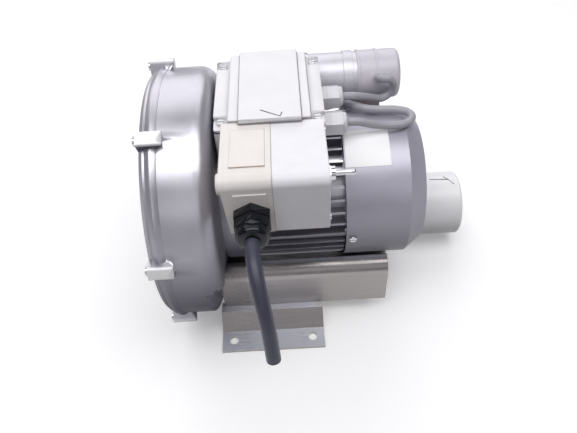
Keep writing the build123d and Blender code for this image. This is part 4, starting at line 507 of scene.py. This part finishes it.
def finish_edit(obj):
    """Leave edit mode and smooth what isn't an edge, with the broad faces in charge."""
    bpy.ops.object.mode_set(mode="OBJECT")
    bpy.ops.object.shade_smooth_by_angle(angle=SMOOTH_ANGLE)
    even = obj.modifiers.new("even", "WEIGHTED_NORMAL")
    even.keep_sharp, even.weight = True, 100
    bpy.ops.object.modifier_apply(modifier="even")


def at_home(obj):
    """Put the object's place and turn into its mesh."""
    alone(obj)
    bpy.ops.object.transform_apply(location=True, rotation=True, scale=True)
    return obj


def fitted_copy(name, title):
    """A merged copy of a CAD node, which takes its place."""
    source = nodes[name]
    copy = source.copy()
    copy.data = source.data.copy()
    copy.name = title
    bpy.context.collection.objects.link(copy)
    pick(copy, lambda place: True)
    bpy.ops.mesh.remove_doubles(threshold=MERGE_GAP)
    bpy.ops.object.mode_set(mode="OBJECT")
    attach(copy, "frame")
    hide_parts(name)
    return copy


def set_seat_forward():
    """The lower part of the casing's back lies further forward, and the silencer's neck reaches it."""
    casing = fitted_copy("casing", "casing_shell")
    for height in (SEAT_TOP, SEAT_TOP + SEAT_RAMP):
        pick(casing, lambda place: True)
        bpy.ops.mesh.bisect(plane_co=(0, 0, height), plane_no=(0, 0, 1))
        bpy.ops.object.mode_set(mode="OBJECT")
    pick(casing, lambda place: place.z < SEAT_TOP + SEAT_SLACK and place.x > CHANNEL_FLOOR_X
         and (place.yz - AXIS.yz).length > SEAT_BORE_R)
    bpy.ops.transform.resize(value=(SEAT_SQUEEZE, 1, 1), center_override=(CHANNEL_FLOOR_X, 0, 0))
    finish_edit(casing)
    neck = fitted_copy("silencer_manifold", "silencer_neck")
    pick(neck, lambda place: place.x < NECK_START_X)
    bpy.ops.transform.translate(value=(-NECK_REACH, 0, 0))
    finish_edit(neck)


def pull_panel_back():
    """The centre panel of the lid, with less of an overhang at the front."""
    lid = fitted_copy("terminal_box_lid", "stepped_lid")
    pick(lid, lambda place: place.y < PANEL_FRONT_Y)
    bpy.ops.transform.translate(value=(0, PANEL_PULL, 0))
    finish_edit(lid)


def lengthen_hood():
    """The hood reaches the outer face of the silencer's end plate."""
    hood = fitted_copy("silencer_hood", "hood_sheet")
    end = max(vertex.co.x for vertex in hood.data.vertices)
    pick(hood, lambda place: place.x > end - HOOD_END)
    bpy.ops.transform.translate(value=(HOOD_REACH, 0, 0))
    finish_edit(hood)


def swell_gland():
    """Body and nut of the supply gland, fuller on the outside."""
    for name in ("supply_gland_body", "supply_gland_nut"):
        part = fitted_copy(name, name.replace("supply", "cord"))
        pick(part, lambda place: (place.xz - GLAND_AXIS.xz).length > GLAND_BORE_R)
        bpy.ops.transform.resize(value=(GLAND_SWELL, 1, GLAND_SWELL), center_override=GLAND_AXIS)
        finish_edit(part)


def make_joint_bead(material):
    """Raised bead round the joint of the casing and its cover."""
    bpy.ops.object.select_all(action="DESELECT")
    bpy.ops.mesh.primitive_cylinder_add(
        vertices=180, radius=CASE_R, depth=BEAD_WIDTH, end_fill_type="NOTHING",
        location=(BEAD_X, 0, AXIS.z), rotation=(0, pi / 2, 0))
    bead = at_home(bpy.context.object)
    bead.name = "joint_bead"
    pick(bead, lambda place: True)
    bpy.ops.mesh.bisect(plane_co=(BEAD_X, 0, 0), plane_no=(1, 0, 0))
    bpy.ops.object.mode_set(mode="OBJECT")
    pick(bead, lambda place: abs(place.x - BEAD_X) < 0.01 * MM)
    swell = 1 + BEAD_RISE / CASE_R
    bpy.ops.transform.resize(value=(1, swell, swell), center_override=(BEAD_X, 0, AXIS.z))
    bpy.ops.object.mode_set(mode="OBJECT")
    wall = bead.modifiers.new("wall", "SOLIDIFY")
    wall.thickness, wall.offset = BEAD_WALL, -1
    ridge = bead.modifiers.new("ridge", "BEVEL")
    ridge.width, ridge.segments = BEAD_ROUND, 3
    ridge.limit_method, ridge.angle_limit = "ANGLE", radians(20)
    for modifier in ("wall", "ridge"):
        bpy.ops.object.modifier_apply(modifier=modifier)
    bpy.ops.object.shade_smooth_by_angle(angle=SMOOTH_ANGLE)
    dress(bead, material)
    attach(bead, "frame")


def make_blank_plate(material):
    """Bare plate that lies round the top of the fan cover."""
    bpy.ops.object.select_all(action="DESELECT")
    length = PLATE_X[1] - PLATE_X[0]
    bpy.ops.mesh.primitive_cylinder_add(
        vertices=360, radius=FAN_COVER_R + PLATE_GAP, depth=length, end_fill_type="NOTHING",
        location=((PLATE_X[0] + PLATE_X[1]) / 2, 0, AXIS.z), rotation=(0, pi / 2, 0))
    plate = at_home(bpy.context.object)
    plate.name = "blank_plate"
    pick(plate, lambda place: not PLATE_ARC[0] < atan2(place.z - AXIS.z, place.y) < PLATE_ARC[1])
    bpy.ops.mesh.delete(type="VERT")
    bpy.ops.object.mode_set(mode="OBJECT")
    sheet = plate.modifiers.new("sheet", "SOLIDIFY")
    sheet.thickness, sheet.offset = PLATE_SHEET, 1
    bpy.ops.object.modifier_apply(modifier="sheet")
    bpy.ops.object.shade_smooth_by_angle(angle=SMOOTH_ANGLE)
    dress(plate, material)
    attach(plate, "frame")


def draw_stroke(name, places, material, radius=STROKE_R):
    """A thin raised line through some points."""
    curve = bpy.data.curves.new(name, "CURVE")
    curve.dimensions = "3D"
    curve.bevel_depth = radius
    curve.bevel_resolution = 2
    curve.use_fill_caps = True
    spline = curve.splines.new("POLY")
    spline.points.add(len(places) - 1)
    for point, place in zip(spline.points, places):
        point.co = (*place, 1)
    line = bpy.data.objects.new(name, curve)
    bpy.context.collection.objects.link(line)
    alone(line)
    bpy.ops.object.convert(target="MESH")
    line = bpy.context.object
    dress(line, material)
    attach(line, "frame")


def on_socket(spot):
    """Point on the pipe socket, from its X in mm and its angle in degrees from +Y towards +Z."""
    x, angle = spot[0] * MM, radians(spot[1])
    return SOCKET_AXIS + Vector((x, SOCKET_R * cos(angle), SOCKET_R * sin(angle)))


def make_marks(finishes, ink):
    """Tick on the lid, flow arrow on the socket, the painted shadow lines along the lid's panel and steps,
    and the dark lines along seams.
    """
    draw_stroke("lid_tick", [(x * MM, y * MM, TOP_OF_PANEL) for x, y in TICK], ink)
    draw_stroke("flow_arrow", [on_socket(spot) for spot in ARROW], ink)
    draw_stroke("flow_arrow_barb", [on_socket(spot) for spot in ARROW_BARB], ink)
    for name, (finish, radius, points) in LINES.items():
        draw_stroke(name, [Vector(point) * MM for point in points], finishes[finish], radius * MM)


def make_supply_cord(material):
    """The supply cord, cut off below the gland."""
    curve = bpy.data.curves.new("supply_flex", "CURVE")
    curve.dimensions = "3D"
    curve.resolution_u = 12
    curve.bevel_depth = CORD_D / 2
    curve.bevel_resolution = 6
    curve.use_fill_caps = True
    spline = curve.splines.new("NURBS")
    spline.points.add(len(CORD_ROUTE) - 1)
    for point, place in zip(spline.points, CORD_ROUTE):
        point.co = (*(Vector(place) * MM), 1)
    spline.order_u = 3
    spline.use_endpoint_u = True
    flex = bpy.data.objects.new("supply_flex", curve)
    bpy.context.collection.objects.link(flex)
    dress(flex, material)
    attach(flex, "frame")
    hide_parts("supply_cord")


finishes = make_finishes()
slots = {part["node"]: part["material_slot"] for part in frame["record"]["subparts"]}
for name, obj in nodes.items():
    dress(obj, finishes[slots[name]])
dress(nodes["capacitor_strap"], finishes["capacitor_can"])     # painted like the can, over its zinc

make_camera()
make_supply_cord(finishes["cord_rubber"])
set_seat_forward()
pull_panel_back()
lengthen_hood()
swell_gland()
make_joint_bead(finishes["silver_paint"])
make_blank_plate(finishes["white_plastic"])
make_marks(finishes, finishes["switch_black"])
make_floor()
make_lamps()
make_world()
bpy.context.scene.view_settings.view_transform = "Standard"
